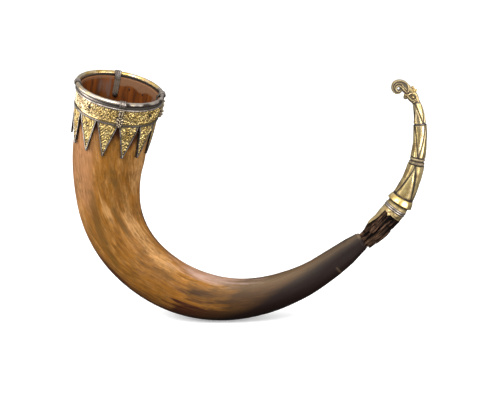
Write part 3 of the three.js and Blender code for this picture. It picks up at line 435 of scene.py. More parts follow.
def hornProfile():
    # stations and radii from the floor of the hollow, up its wall, over the lip and down the outside to the
    # cut tip, and which rows are outside
    crown = np.radians(np.linspace(84, 6, 9))
    wall = np.concatenate([np.linspace(hornShell["depth"], 26, 62), np.linspace(25.4, -0.4, 48)])
    turn = np.radians(np.linspace(0, 90, 5))
    small = hornShell["lipRound"]
    edge = small - hornShell["lipRise"]
    outside = np.linspace(-0.4, hornTip - 3, 400)
    cutBack = np.array([2.6, 2.2, 1.6, 1.0, 0.5, 0.2, 0])
    cutIn = np.array([0, 0.1, 0.3, 0.5, 0.7, 0.9, 1.2])
    rows = [
        (hornShell["depth"] + hornShell["crown"] * np.sin(crown), hornShell["floor"] * np.cos(crown)),
        (wall, hollowRadius(wall)),
        (edge - small * np.sin(turn), hollowRadius(np.array(0.0)) + small - small * np.cos(turn)),
        (edge - small * np.cos(turn), hornTaper["lip"] - small + small * np.sin(turn)),
        (outside, hornRadius(outside)),
        (hornTip - cutBack, hornTaper["tip"] - cutIn),
        (np.full(2, hornTip), np.array([5.0, 3.0])),
    ]
    station, radius = (np.concatenate(part)[:, None] for part in zip(*rows))
    out = np.arange(len(station))[:, None] >= len(crown) + len(wall) + len(turn)
    return station, radius, out


def hornMarks(s, side, x, y, out):
    # shares of each colour by station along the horn and by side round it, in degrees from the front. The
    # back half takes the same colours as the front, mirrored.
    drift = ripple(6, 16, x, y, s * 0.1)
    fold = np.where(np.abs(side) > 90, np.sign(side) * 180 - side, side)
    wander = fold + 3 * drift
    late = s + 7 * drift
    umber = most(smooth(255, 335, late - 0.35 * fold), 0.42 * bump(wander, 26, 17) * smooth(240, 262, s))
    black = smooth(0, 90, late - 278 - 1.1 * (fold + 20))
    # grey: a painted sheen on the upper side towards the tip and on the upper side of the cut end, and a pale
    # scratch near the tip
    greyAndSheen = most(
        0.85 * bump(wander, 62, 24) * smooth(235, 320, late) * (1 - 0.3 * smooth(360, 440, s)),
        0.55 * bump(s, 422, 0.9) * spanned((-75, -60), (-24, -10), side),
        0.9 * smooth(hornTip - 3.4, hornTip - 2.2, s) * smooth(15, 60, fold),
    )
    pink = smooth(-2, -46, wander) * (1 - smooth(84, 140, late))
    sheen = 0.31 * smooth(42, 66, wander) * bump(s, 274, 56)
    light = np.interp(s, [120, 167, 235], [30, 53, 56])
    pale = most(
        bump(wander, light, 13) * spanned((108, 150), (214, 250), s),
        0.75 * bump(wander, 2 + 0.35 * (s - 117), 6) * bump(s, 118, 17),
        0.4 * bump(wander, -52, 12) * bump(s, 128, 42),
        0.45 * bump(wander, -47, 8) * bump(s, 226, 30),
        # painted light: lighter towards the inside of the curve near the mouth
        0.62 * smooth(25, 62, wander) * (1 - smooth(84, 125, late)),
    )
    patch = spanned((-9, -7.5), (0, 10), wander + 24 - 0.15 * (s - 166))
    crescent = np.interp(s, [181, 217, 250], [12, 32, 32])
    stain = most(
        0.75 * bump(wander, -22, 9) * spanned((82, 112), (146, 166), late),
        patch * smooth(152, 161, s) * (1 - smooth(168, 190, late)),
        0.8 * bump(wander, 12 + 0.39 * (s - 115), 6) * bump(s, 136, 26),
        0.6 * bump(wander, 5 + 0.55 * (s - 59), 7) * bump(s, 86, 30),
        0.7 * bump(wander, crescent, 5.5) * bump(s, 218, 34),
        0.75 * bump(wander, 24, 14) * smooth(246, 262, s),
    )
    # the darker belly is partly maroon staining and partly painted shade, and the darkening on all but the
    # upper side past the bend is painted shade
    belly = 0.55 * smooth(-34, -66, wander) * smooth(110, 200, s)
    maroon = most(
        belly + 0.28 * smooth(140, 230, s) * (1 - smooth(28, 44, wander)),
        0.95 * smooth(-4, -26, wander) * smooth(230, 262, late),
        0.8 * bump(wander, -10 - 0.2 * (s - 252), 5.5) * smooth(236, 254, late) * (1 - smooth(266, 294, s)),
        # dark just under the dags: painted shadow of the dags
        0.7 * (1 - smooth(25, 47, late)),
        0.55 * bump(wander, 88, 7) * spanned((128, 145), (210, 250), s),
    )
    # inside the mouth: a worn lip with a scalloped edge, and grey patches
    mouthSide = side % 360
    scallop = 5.8 + 2.8 * bump(mouthSide, 152, 9) + 1.2 * bump(mouthSide, 186, 14)
    scallop = scallop + 0.5 * ripple(8, 9, x, y)
    worn = most(
        (1 - smooth(scallop - 0.8, scallop + 0.8, s)) * spanned((84, 104), (188, 192), mouthSide),
        0.6 * (1 - smooth(0.6, 1.8, s)),
    )
    grey = most(
        0.9 * bump(mouthSide, 206, 11) * bump(s, 10, 14),
        0.7 * bump(mouthSide, 112, 15) * bump(s, 12, 12),
    )
    return {
        "umber": umber * out, "black": black * out, "greyAndSheen": np.where(out, greyAndSheen, grey), "pale": pale * out,
        "pink": pink * out, "sheen": sheen * out, "stain": stain * out, "maroon": maroon * out,
        "inner": 1 - out, "worn": worn * (1 - out),
    }


def makeHorn():
    # the profile carried along the bent line, scraped by hand outside and uneven inside
    s, r, out = hornProfile()
    angle = ringAngles(hornShell["around"])[None, :]
    x, y = r * np.sin(angle), -r * np.cos(angle)
    side = fromFront(angle)
    marks = hornMarks(s, side, x, y, out)
    # long shallow flats below the dags, knife-cut facets towards the tip and a nick in one edge
    swell = 0.3 * ripple(3, 46, x, y, s * 0.25) + 0.1 * ripple(4, 14, x, y, s * 0.2)
    facets = 0.2 * np.cos(5 * angle - 1.2) * smooth(380, 440, s)
    nick = 0.9 * bump(s, 444, 1.3) * bump(side, 84, 16)
    r = r + out * (smooth(62, 90, s) * (swell + facets) - nick)
    # the belly side stays fuller near the tip, and the inside edge dips, then rises to the cut end
    low = np.interp(s, [370, 397, 420, 438, 450, 460], [0.2, 1.2, 2.4, 2.6, 1.5, 0.8]) * smooth(360, 375, s)
    high = np.interp(s, [365, 402, 425, 445, 456], [0, -1.1, 0, 0.9, 0.4]) + 0.9 * bump(s, 72, 12)
    r = r + out * (low * smooth(0.1, -0.85, np.sin(angle)) + high * smooth(-0.1, 0.8, np.sin(angle)))
    r = r + (1 - out) * 0.3 * ripple(5, 18, x, y, s * 0.2) * smooth(8, 20, s)
    points = beside(np.broadcast_to(s, r.shape), r, np.broadcast_to(angle, r.shape))
    points = points + np.minimum(s, 0)[..., None] * lineAlong[0]
    # the fibres' own coordinates, untwisted and laid straight
    twist = angle - np.radians(0.28 * (np.minimum(s, 220) - 60)) * out
    straight = np.stack([r * np.sin(twist), -r * np.cos(twist), np.broadcast_to(s, r.shape)], -1)
    shell = skin(points, straight=straight, **marks)
    addPiece("hornShell", [shell], horn, ["horn_body"], crease=60)


makeHorn()

# Rim mount, in radius and height about the mouth's axis. Angles are degrees from the front.
rim = {
    "seat": 41.8, "cone": 4.3 / 58.7, "sheet": 0.9, "bandFoot": -19.5, "bandTop": 2.9, "wireTop": -17.7,
    "filletFoot": -3.8, "rollRadius": 2.3, "rollHeight": 4.0, "rollCentre": 42.54, "girth": 42, "clip": 11,
    "around": 360,
}
rimAngles = ringAngles(rim["around"])


def bandSeat(height):
    # radius of the band's back, on the horn's cone
    return rim["seat"] + rim["cone"] * np.asarray(height)


def bandFace(height):
    # radius of the band's face, one sheet further out
    return bandSeat(height) + rim["sheet"]


def aroundRim(profile, angles):
    # a closed profile of radius and height carried round the mouth
    radius, height = (np.array(part, float)[:, None] for part in zip(*profile))
    return np.broadcast_arrays(radius, height, angles[None, :])


def makeRoll():
    # a round tube with dents, rubbed to silver along its outer front and dark towards the right, with painted
    # shade on its underside that is lightened on the left as painted light
    turn = ringAngles(28)[:, None]
    angle = rimAngles[None, :]
    side = fromFront(angle)
    x, y = crosswise(rim["girth"], angle)
    dent = 1 + 0.04 * ripple(11, 8, x, y, 3 * np.sin(turn))
    radius = rim["rollCentre"] + rim["rollRadius"] * dent * np.cos(turn)
    height = rim["rollHeight"] + rim["rollRadius"] * dent * np.sin(turn)
    patches = ripple(12, 9, x, y, 3 * np.cos(turn))
    # under: painted shade on the lower half of the tube; left lightens it on the lit side
    under = smooth(-0.4, 0.35, -np.sin(turn))
    bare = 0.1 + 0.7 * smooth(130, 80, np.abs(side)) + 0.5 * patches
    bare = unit(most(bare + 0.6 * spanned((0, 20), (105, 140), side), under))
    right = spanned((2, 20), (105, 140), side) * (0.6 + 0.4 * smooth(1.0, 0.6, np.sin(turn)))
    left = spanned((-150, -110), (-60, -28), side)
    grime = unit(under * (0.95 - 0.5 * left) + right * (0.85 + 0.55 * patches))
    points = atRim(radius, np.broadcast_to(angle, radius.shape), height)
    roll = skin(points, ring=True, grime=grime, bare=bare)
    addPiece("rimRoll", [roll], gilt, ["rim_roll"])


def scrollwork(x, y, cell, pitch):
    # generic running scroll: a spiral in each cell, turned over in every second one, a wavy stem and leaves
    count = np.floor(x / cell)
    u = x - (count + 0.5) * cell
    v = y * np.where(count % 2 == 0, 1, -1)
    out = np.hypot(u, v + 0.6)
    turn = np.arctan2(v + 0.6, u)
    coil = 0.5 + 0.5 * np.cos(fullTurn * (out / pitch - turn / fullTurn))
    coil = coil * (1 - smooth(0.38 * cell, 0.46 * cell, out))
    stem = bump(v, 0.42 * cell * np.cos(fullTurn * u / (2 * cell)) - 1.4, 0.6)
    leaf = 0.5 + 0.5 * np.cos(7 * turn + 2.1 * out)
    leaf = leaf * smooth(0.38 * cell, 0.48 * cell, out)
    return unit(most(coil, stem, leaf))


# Band: cells of scrollwork round the mouth, by their count, width and spacing of coils.
band = {"around": 1100, "rows": 54, "cells": 34, "cell": 7.8, "coil": 2.1}


def makeBand():
    # a sheet on the horn's cone: plain back, engraved face between the fillet and the edge wire
    foot, top = rim["bandFoot"], rim["bandTop"]
    rows = np.linspace(rim["wireTop"] + 0.1, rim["filletFoot"] + 0.9, band["rows"])
    face = [(bandFace(h), h) for h in (foot, *rows, rim["filletFoot"] + 1.2, top)]
    profile = [(bandSeat(foot), foot)] + face + [(bandSeat(top), top)]
    radius, height, angle = aroundRim(profile, ringAngles(band["around"]))
    up = height - 0.5 * (rim["wireTop"] + rim["filletFoot"] + 1)
    run = angle / fullTurn * band["cells"] * band["cell"]
    waver = 0.8 * ripple(21, 7, run, height), 0.8 * ripple(24, 7, run, height)
    cut = scrollwork(run + 1.3 * waver[0], 0.8 * up + 1.3 * waver[1], band["cell"], band["coil"])
    cut = cut * smooth(-0.7, 0.2, ripple(22, 2.8, run, height))
    cut = unit(cut + 0.35 * unit(ripple(25, 1.7, run, height)))
    engraved = np.zeros_like(radius)
    engraved[2:-3] = 1
    plain = 1 - smooth(rim["wireTop"] + 1.4, rim["wireTop"] + 1.9, height)
    edge = (1 - plain) * (1 - smooth(rim["filletFoot"] + 0.1, rim["filletFoot"] + 0.9, height))
    radius = radius + engraved * edge * (0.95 * cut - 0.5)
    recess = 0.78 * (1 - cut) ** 1.6 * edge + 0.45 * (1 - edge) * (1 - plain)
    # darker at the foot by the wire; the plain strips under the roll are dark as painted shade
    low = 0.9 * (1 - smooth(rim["wireTop"], rim["wireTop"] + 0.5, height))
    grime = np.where(engraved > 0, unit(most(recess, low)), 0.9)
    side = fromFront(angle)
    # painted light: lighter on the left and on the engraving towards the right, with bare silver on the left
    left = spanned((-130, -95), (-50, -5), side)
    grime = grime * (1 - 0.75 * left - 0.35 * engraved * smooth(20, 50, side))
    bare = np.where(engraved > 0, 0.25 * unit(ripple(23, 30, run, height)) + 0.4 * left, 1)
    sheet = skin(atRim(radius, angle, height), ring=True, grime=grime, bare=bare)
    addPiece("rimBand", [sheet], gilt, ["rim_band"], crease=75)


def halfRound(out, wide, middle, reach):
    # a half-round bead as radius and height
    turn = np.radians(np.linspace(-90, 90, 9))
    return [(out + wide * math.cos(t), middle + reach * math.sin(t)) for t in turn]


def makeMoulding(name, node, profile, uneven, dirtAndShade, rubbedAndLit, crest):
    # a slightly uneven profile carried round the mouth, dark with dirt and painted shade, and lighter on its
    # crest where it is rubbed and where a highlight is painted on the lit side
    radius, height, angle = aroundRim(profile, rimAngles)
    seed, length, rough = uneven
    wobble = rough * ripple(seed, length, *crosswise(rim["girth"], angle))
    grime = unit(dirtAndShade - rubbedAndLit * smooth(*crest, radius))
    moulding = skin(atRim(radius + wobble, angle, height + wobble), ring=True, grime=grime)
    addPiece(name, [moulding], silver, [node])


def makeMouldings():
    # fillet: a cove under the roll above a bead; edge wire: two reeds side by side
    side = fromFront(rimAngles)
    face = bandFace(rim["filletFoot"]) + 0.3
    fillet = halfRound(face + 0.5, 0.8, -1.75, 1.05)
    fillet += [(face + 0.3, -0.65), (face + 0.2, -0.45), (face + 0.3, -0.3), (face, -0.3), (face, -2.8)]
    # the fillet's crest lighter on the left as a painted highlight
    rubbedAndLit = 0.6 + 0.3 * spanned((-150, -110), (-55, -10), side)
    crest = (face + 0.5, face + 1.0)
    makeMoulding("rimFillet", "rim_fillet", fillet, (31, 8, 0.06), 0.95, rubbedAndLit, crest)
    face = bandFace(rim["bandFoot"]) + 0.3
    wire = halfRound(face + 0.3, 0.8, -19.15, 0.3) + halfRound(face + 0.3, 0.8, -18.35, 0.55)
    wire += [(face + 0.1, -17.75), (face + 0.1, rim["bandFoot"])]
    # the wire's crest lighter on the left and dark from the front round the right, as painted light and shade
    rubbedAndLit = 0.9 - 0.75 * spanned((-45, 5), (150, 175), side)
    crest = (face + 0.45, face + 1.0)
    makeMoulding("bandEdgeWire", "band_edge_wire", wire, (32, 7, 0.07), 1.0, rubbedAndLit, crest)


makeRoll()
makeBand()
makeMouldings()

# Dags: triangular plates with raised edges, engraved inside, a nail near the top and a bead at the tip. Each
# has its own lean in degrees, stand off the horn at its tip and thickness of its front.
dags = {
    "count": 12, "top": -19.8, "length": 32.2, "spacing": 1.2, "plate": 0.9, "edge": 1.2, "edgeRise": 0.7,
    "tip": 2.4, "bead": 1.5, "nailDrop": 7.2, "nail": 1.05,
    "leans": [-1.5, -6.5, -11, 0, 0, 0, 0, 0, 0, 8, 4, 0],
    "stands": [0.7, 0.8, 0.5, 0.6, 0.9, 0.5, 0.8, 0.6, 1.8, 1.1, 0.9, 0.6],
    "walls": [1.0, 1.4, 0.1, 0.4, 0.4, 0.4, 0.4, 0.4, 0.4, 0.6, 0.6, 0.6],
}


def dagScroll(drop, across, seed):
    # stacked crescents down the plate with curls between them, cut by hand
    waver = 0.5 * ripple(seed, 4, drop, across)
    stagger = 0.25 * np.tanh(2 * across)
    arch = drop + 2.2 * waver - 0.5 * np.abs(across) ** 1.5
    crescents = 0.5 + 0.5 * np.cos(fullTurn * (arch / 3.6 + stagger))
    curls = scrollwork(drop + 2 * waver, across, 5.2, 2.3)
    share = smooth(8, 14, drop)
    worked = crescents * share + curls * (1 - share)
    return unit(0.15 + worked * smooth(-0.9, 0.1, ripple(seed + 20, 2.7, drop, across)))


def makeDag(number):
    # sections across the plate, each along the back and over the edges and the field, carried down to the tip
    middle = math.radians(rim["clip"] + (number + 0.5) * 360 / dags["count"])
    topWidth = fullTurn * bandSeat(dags["top"]) / dags["count"] - dags["spacing"]
    plateRows = np.linspace(0, dags["length"], 84)
    beadTurn = np.radians(np.linspace(-50, 86, 12))
    beadRows = dags["length"] + dags["bead"] * (0.77 + np.sin(beadTurn))
    drop = np.concatenate([plateRows, beadRows])[:, None]
    reach = drop / dags["length"]
    isBead = (drop > dags["length"]).astype(float)
    beadHalf = dags["bead"] * np.concatenate([np.ones(len(plateRows)), np.cos(beadTurn)])[:, None]
    half = (topWidth + (dags["tip"] - topWidth) * reach) / 2
    half = half * (1 - isBead) + beadHalf * isBead
    edge = np.minimum(dags["edge"], 0.62 * half)
    top = dags["plate"] + dags["edgeRise"]
    back = np.linspace(-1, 1, 6)[None, :] * half
    rightEdge = half - edge * np.array([0, 0, 0.08, 0.3, 0.6, 0.85, 1.0, 1.12])[None, :]
    edgeLift = np.array([0.35, 0.8, 0.93, 1.0, 1.0, 0.93, 0.75, 0.55])[None, :] * top + 0 * half
    fieldAcross = np.linspace(1, -1, 36)[None, :] * (half - 1.25 * edge)
    across = np.concatenate([back, rightEdge, fieldAcross, -rightEdge[:, ::-1]], 1)
    cut = dagScroll(drop, fieldAcross, 41 + number)
    foot = smooth(dags["length"] - 1.6, dags["length"] - 0.6, drop)
    nailOff = np.hypot(drop - dags["nailDrop"], fieldAcross)
    nail = np.sqrt(unit(1 - (nailOff / dags["nail"]) ** 2))
    ditch = bump(nailOff, 1.4 * dags["nail"], 0.4)
    engraved = 0.8 * cut * smooth(1.2, 2.0, nailOff / dags["nail"])
    field = dags["plate"] - 0.35 + engraved + 0.9 * nail - 0.2 * ditch
    lift = np.concatenate([0 * back, edgeLift, field * (1 - foot) + top * foot, edgeLift[:, ::-1]], 1)
    dome = np.sqrt(unit(1 - (across / np.maximum(half, 0.01)) ** 2))
    beadLift = top * (0.55 + 0.55 * beadHalf / dags["bead"]) * (0.35 + 0.65 * dome)
    onBack = np.arange(across.shape[1])[None, :] < back.shape[1]
    lift = np.where(onBack, 0, lift * (1 - isBead) + isBead * beadLift)
    lift = lift + np.where(onBack, 0, dags["walls"][number]) * smooth(0, 6, drop) * (1 - 0.5 * reach)
    lift = lift + dags["stands"][number] * reach**2
    height = dags["top"] - drop + 0 * across
    turn = middle + math.radians(dags["leans"][number]) * reach + across / bandSeat(height)
    points = atRim(bandSeat(height) + 0.02 + lift, turn, height)
    # dirt in the cuts, and painted shade along the edges' feet, on the side walls, round the nail and under
    # the wire, more of it on the shaded side
    side = fromFront(middle)
    left = spanned((-120, -80), (-50, -20), side)
    dark = 0.45 * spanned((-60, 0), (150, 175), side)
    fieldGrimeAndShade = unit(0.07 + 0.83 * (1 - cut) ** 1.4 + 0.9 * ditch) * (1 - foot) * (1 - nail)
    fieldGrimeAndShade = most(fieldGrimeAndShade + 0.14 * left, 0.8 * (1 - smooth(0.2, 0.8, drop)) + 0.5 * foot)
    wallShade = np.array([1, 0.95, 0.7, 0.2, 0.1, 0.3, 0.8, 1.0])[None, :] + 0.35 * isBead + dark
    grime = np.concatenate([1 + 0 * back, wallShade + 0.1, fieldGrimeAndShade, wallShade[:, ::-1]], 1)
    grime = unit(grime + 0.2 * ripple(81 + number, 4, drop, across))
    bare = np.concatenate([1 + 0 * back, 1 + 0 * rightEdge, foot + 0 * fieldAcross, 1 + 0 * rightEdge], 1)
    plate = skin(points, grime=grime, bare=bare)
    addPiece("dag%02d" % (number + 1), [plate], gilt, ["dag_%02d" % (number + 1)], crease=70)


for number in range(dags["count"]):
    makeDag(number)

# Clips: a fluted strap from inside the horn over the roll, a domed rivet through its leg, and a cast leaf.
clips = {
    "names": ["front", "right", "back", "left"], "bare": "left", "width": 6.0, "saddle": 6.6, "wall": 0.4,
    "flute": 0.35, "rivetDrop": 17.2, "rivet": 2.5, "rivetRise": 1.6, "legFoot": -19.0, "nailDrop": 8.5,
    "nail": 1.7, "nailRise": 0.95,
}


def legSeat(height):
    # radius of a strap's leg, just inside the flats of the hollow
    return hollowRadius(-np.asarray(height)) * math.cos(math.pi / 28) - 0.3


def ball(centre, axes, sizes, rows=12, columns=18, **marks):
    # an ellipsoid from its centre, three directions and three half sizes
    lift = np.radians(np.linspace(-84, 84, rows))[:, None]
    turn = ringAngles(columns)[None, :]
    parts = np.cos(lift) * np.cos(turn), np.cos(lift) * np.sin(turn), np.sin(lift) + 0 * turn
    points = np.asarray(centre, float)
    for part, axis, size in zip(parts, axes, sizes):
        points = points + (part * size)[..., None] * np.asarray(axis, float)
    return skin(points, **marks)


def makeStrap(name, angle):
    # a fluted section carried up the inside of the horn, over the roll and down to the fillet
    grip = rim["rollRadius"] + 0.2
    legRows = np.linspace(clips["legFoot"], 0.6, 22)
    arc = np.radians(np.linspace(180, 5, 27))
    low = np.radians(np.linspace(-4, -66, 8))
    overRoll = np.concatenate([arc, low])
    out = np.concatenate([legSeat(legRows), rim["rollCentre"] + grip * np.cos(overRoll)])
    height = np.concatenate([legRows, rim["rollHeight"] + grip * np.sin(overRoll)])
    slope = np.arctan2(np.gradient(height), np.gradient(out)) + math.pi / 2
    onLeg = np.zeros(len(legRows))
    onSaddle = np.concatenate([onLeg, np.ones(len(overRoll))])
    narrow = bump(np.degrees(low), -40, 14)
    width = clips["width"] + (clips["saddle"] - clips["width"]) * onSaddle
    width[-len(low) :] -= 1.5 * narrow
    width[:4] *= np.array([0.6, 0.85, 0.96, 1])
    ridges = 0.2 * np.abs(np.cos(np.linspace(0, 4 * math.pi, len(arc))))
    ribs = np.concatenate([onLeg, ridges, 0.2 * (1 - narrow)])
    onSaddle = onSaddle[:, None]
    share = np.concatenate([np.linspace(-0.5, 0.5, 5), np.linspace(0.5, -0.5, 31)])[None, :]
    onFace = np.concatenate([np.zeros(5), np.ones(31)])[None, :]
    flute = np.abs(np.cos(3 * math.pi * share))
    rounded = np.sqrt(unit(1 - (2.04 * share) ** 8))
    plain = clips["wall"] * (0.35 + 0.65 * rounded)
    lift = onFace * (plain + clips["flute"] * flute * rounded + ribs[:, None])
    outward = out[:, None] + lift * np.cos(slope)[:, None]
    upward = height[:, None] + lift * np.sin(slope)[:, None]
    sideways = share * width[:, None]
    turn = angle + np.arctan2(sideways, outward)
    points = atRim(np.hypot(sideways, outward), turn, upward)
    valley = 0.3 + 0.5 * onSaddle
    # tarnish in the flute valleys, more of it over the saddle as painted shade, and darker low on the leg
    grime = onFace * unit(valley - 0.6 * flute * (0.6 + 0.4 * rounded)) + (1 - onFace)
    grime = unit(grime + 0.3 * smooth(-12, -18, upward))
    # a painted shadow on the strap where it runs under the roll
    inside = smooth(rim["rollCentre"] - 0.4, rim["rollCentre"] - 1.8, outward)
    grime = unit(grime + 0.1 * onSaddle + 0.95 * inside * bump(upward, 1.2, 3.0))
    # pale dust inside the mouth, heaviest on the flute ridges where it also stands in for a highlight
    inMouth = smooth(2, -3, upward) * (outward < rim["seat"])
    strap = skin(points, grime=grime, dust=0.7 * inMouth * onFace * (0.4 + 0.6 * flute))
    addPiece("clipStrap" + name.capitalize(), [strap], silver, ["clip_strap_" + name], crease=70)


def rimAxes(angle):
    # across, up and outwards at an angle of the rim
    outwards = np.sin(angle) * lineInside[0] - np.cos(angle) * lineBack[0]
    up = -lineAlong[0]
    return np.cross(up, outwards), up, outwards


def makeRivet(name, angle):
    # a domed head inside the strap's leg and the flush end of its shank outside the band
    axes = rimAxes(angle)
    drop = -clips["rivetDrop"]
    inside = legSeat(drop) - clips["wall"] - clips["flute"] - 0.3
    dome = ball(atRim(inside, angle, drop), axes, (clips["rivet"], clips["rivet"], clips["rivetRise"]))
    end = ball(atRim(bandFace(drop) - 0.1, angle, drop), axes, (1.1, 1.1, 0.35), 8, 14)
    addPiece("clipRivet" + name.capitalize(), [dome, end], iron, ["clip_rivet_" + name])


def makeLeaf(name, angle):
    # a crossbar, a stalk of two reeds, three pairs of lobes and a tail, each a swelled form with a dark foot
    # of painted shade
    across, up, outwards = rimAxes(angle)
    down = -up - rim["cone"] * outwards
    down = down / np.linalg.norm(down)
    face = outwards - rim["cone"] * up
    face = face / np.linalg.norm(face)
    top = atRim(bandFace(-1.4) + 0.3, angle, -1.4)
    proud = 1.45 if name == "right" else 1
    shade = (1 - 0.8 * smooth(18, 70, np.linspace(-84, 84, 11)))[:, None] / proud
    parts = []

    def lobe(x, y, width, length, depth, lean):
        # an ellipsoid in the leaf's plane, deeper towards the tail where the leaf stands proud
        sideways = math.cos(lean) * across + math.sin(lean) * down
        lengthways = math.cos(lean) * down - math.sin(lean) * across
        centre = top + x * across + y * down + 0.4 * face
        sizes = (width / 2, length / 2, depth * (1 + (proud - 1) * (1 + 0.1 * max(y - 10, 0))))
        parts.append(ball(centre, (sideways, lengthways, face), sizes, 11, 18, grime=shade, bare=0.6))

    lobe(0, 0.9, 7.6, 1.7, 2.6, 0)
    lobe(0, 8.4, 5.0, 1.4, 2.6, 0)
    for side in (-1, 1):
        lobe(side * 1.25, 5.0, 2.3, 7.6, 2.5, 0)
        lobe(side * 2.0, 10.6, 2.7, 4.2, 2.7, side * 0.75)
        lobe(side * 2.1, 13.8, 2.7, 3.8, 2.6, side * 0.75)
        lobe(side * 1.4, 16.6, 2.1, 3.4, 2.2, side * 0.6)
    lobe(0, 11.8, 1.7, 4.4, 3.3, 0)
    lobe(0, 15.2, 1.6, 4.0, 3.0, 0)
    lobe(0, 18.0, 1.8, 3.2, 2.0, 0)
    addPiece("clipLeaf" + name.capitalize(), parts, gilt, ["clip_leaf_" + name])


def makeNail(number, angle):
    # a domed head on the band, and points that have come through the horn's wall beside the second
    axes = rimAxes(angle)
    drop = clips["nailDrop"]
    sizes = (clips["nail"], clips["nail"], clips["nailRise"])
    parts = [ball(atRim(bandFace(-drop) + 0.25, angle, -drop), axes, sizes)]
    if number == 2:
        point = atRim(hollowRadius(np.array(drop)) - 0.1, angle, -drop - 1)
        stub = atRim(hollowRadius(np.array(9.0)) - 0.1, angle + math.radians(24), -9.0)
        parts.append(ball(point, axes, (0.9, 1.3, 0.6), 8, 12))
        parts.append(ball(stub, axes, (0.9, 1.5, 0.6), 8, 12))
    addPiece("bandNail%d" % number, parts, iron, ["band_nail_%d" % number])


for number, name in enumerate(clips["names"]):
    angle = math.radians(rim["clip"] + 90 * number)
    makeStrap(name, angle)
    makeRivet(name, angle)
    if name != clips["bare"]:
        makeLeaf(name, angle)
    makeNail(number + 1, angle + math.pi / 4)

# Terminal: stations along the line where its pieces start.
terminal = {
    "wood": 460.9, "lip": 501.0, "wire": 505.3, "knop": 513.3, "collar": 559.5, "stemRing": 600.8,
    "neckRing": 622.6, "head": 625.9, "around": 96,
}
tipAngles = ringAngles(terminal["around"])


def turned(profile, dark, seed, bare=0):
    # a profile of station and radius turned about the bent line, with the darkness of each ring
    station, radius = (np.array(part, float)[:, None] for part in zip(*profile))
    station, radius, angle = np.broadcast_arrays(station, radius, tipAngles[None, :])
    x, y = crosswise(radius, angle)
    uneven = 0.05 * ripple(seed + 100, 6, x, y, station)
    stains = 0.2 * ripple(seed + 200, 5, x, y, station)
    grime = unit(np.array(dark, float)[:, None] + unit(stains))
    return skin(beside(station, radius + uneven, angle), grime=grime + 0 * angle, bare=bare)


# Wood: strips of broken fibre and loose shards. The first shards start at these stations, on the lower side.
splinters = {
    "strips": 40, "depth": 2.7, "around": 200, "rows": 120, "shards": 18, "breaksFrom": 440,
    "nearHorn": (476, 463), "nearSocket": (487, 498), "lows": (458.2, 456.4, 459, 468, 471, 461),
}


def woodRadius(station):
    # widens from the horn's end to the middle of the wood
    return 9.75 + 1.45 * unit((station - terminal["wood"]) / 20.15)


def woodSwell(angle):
    # broad ridges of the grain, worn back on the inside of the curve
    return 0.35 * np.sin(5 * angle) + 0.35 * np.sin(8 * angle + 1) - np.sin(angle)


def makeWood():
    # each strip steps in and out at its own breaks, and the shards lie on top
    random = np.random.default_rng(7)
    angle = ringAngles(splinters["around"])[None, :]
    station = np.linspace(terminal["wood"] - 0.4, terminal["lip"] + 2, splinters["rows"])[:, None]
    drift = angle + 0.07 * np.sin(station / 8) + 0.03 * np.sin(station / 2.9 + 3 * angle)
    strip = np.floor(drift / fullTurn * splinters["strips"]).astype(int) % splinters["strips"]
    length = random.uniform(13, 34, splinters["strips"])[strip]
    start = random.uniform(0, 34, splinters["strips"])[strip]
    count = np.floor((station - splinters["breaksFrom"] + start) / length).astype(int)
    depths = random.uniform(0, 1, (splinters["strips"], 12)) ** 1.5
    broken = 0.45 + 0.55 * smooth(-0.2, 0.6, np.cos(angle + 0.5))
    sunk = splinters["depth"] * depths[strip, count] * broken
    x, y = crosswise(10, angle)
    fibres = 0.22 * ripple(91, 2.0, x, y, 0.12 * station)
    radius = woodRadius(station) + woodSwell(angle) + 0.3 - sunk + fibres
    radius = radius - 2.4 * smooth(*splinters["nearHorn"], station) * smooth(0.2, 0.9, np.sin(angle))
    radius = np.where(station > terminal["lip"] - 0.5, np.minimum(radius, 10.4), radius)
    points = beside(station + 0 * angle, radius, angle + 0 * station)
    straight = np.stack([*crosswise(radius, angle), station + 0 * radius], -1)
    # painted shadow under the socket's lip on the front, and painted shade in the sunk breaks
    shaded = 0.7 * smooth(*splinters["nearSocket"], station) * smooth(0.5, 0.9, np.cos(angle + 0.4))
    grime = sunk / splinters["depth"] * 2.0 + 0.3 * ripple(92, 4, x, y, 0.2 * station)
    parts = [skin(points, straight=straight, grime=unit(grime + shaded))]
    placed = len(splinters["lows"])
    t = np.linspace(0.02, 0.98, 18)[:, None]
    ring = ringAngles(8)[None, :]
    for shard in range(splinters["shards"]):
        # a shard: a flat diamond section that tapers to a point at both ends and leans off the wood
        at = random.uniform(-1.9, 0.9) if shard >= placed else math.radians(-18 - 17 * shard)
        low = random.uniform(464, 484) if shard >= placed else splinters["lows"][shard]
        run = random.uniform(12, 24)
        taper = np.minimum(1, 3.2 * np.minimum(t + 0.08, 1 - t)) * random.uniform(0.6, 1.0)
        s = low + run * t + 0 * ring
        proud = 1.1 if 1 < shard < placed else 0.5
        r = woodRadius(s) + woodSwell(at) + proud + 0.5 * taper * np.sin(ring) - 0.6 * t
        a = at + taper * np.cos(ring) / 10 + 0.05 * np.sin(3 * t)
        path = np.stack([*crosswise(r, a), s], -1)
        # each shard darker on its underside as painted shade
        parts.append(skin(beside(s, r, a), straight=path, grime=unit(0.1 - 0.5 * np.sin(ring)) + 0 * s))
    addPiece("splinteredPlug", parts, wood, ["tip_plug"], crease=30)


# Socket: length, place in degrees from the front and half width of its torn tongue and of a short flap.
socket = {"tongue": (24, 75, 22), "flap": (2.6, 22, 9), "sheet": 0.6, "girth": 11, "around": 240, "rows": 30}


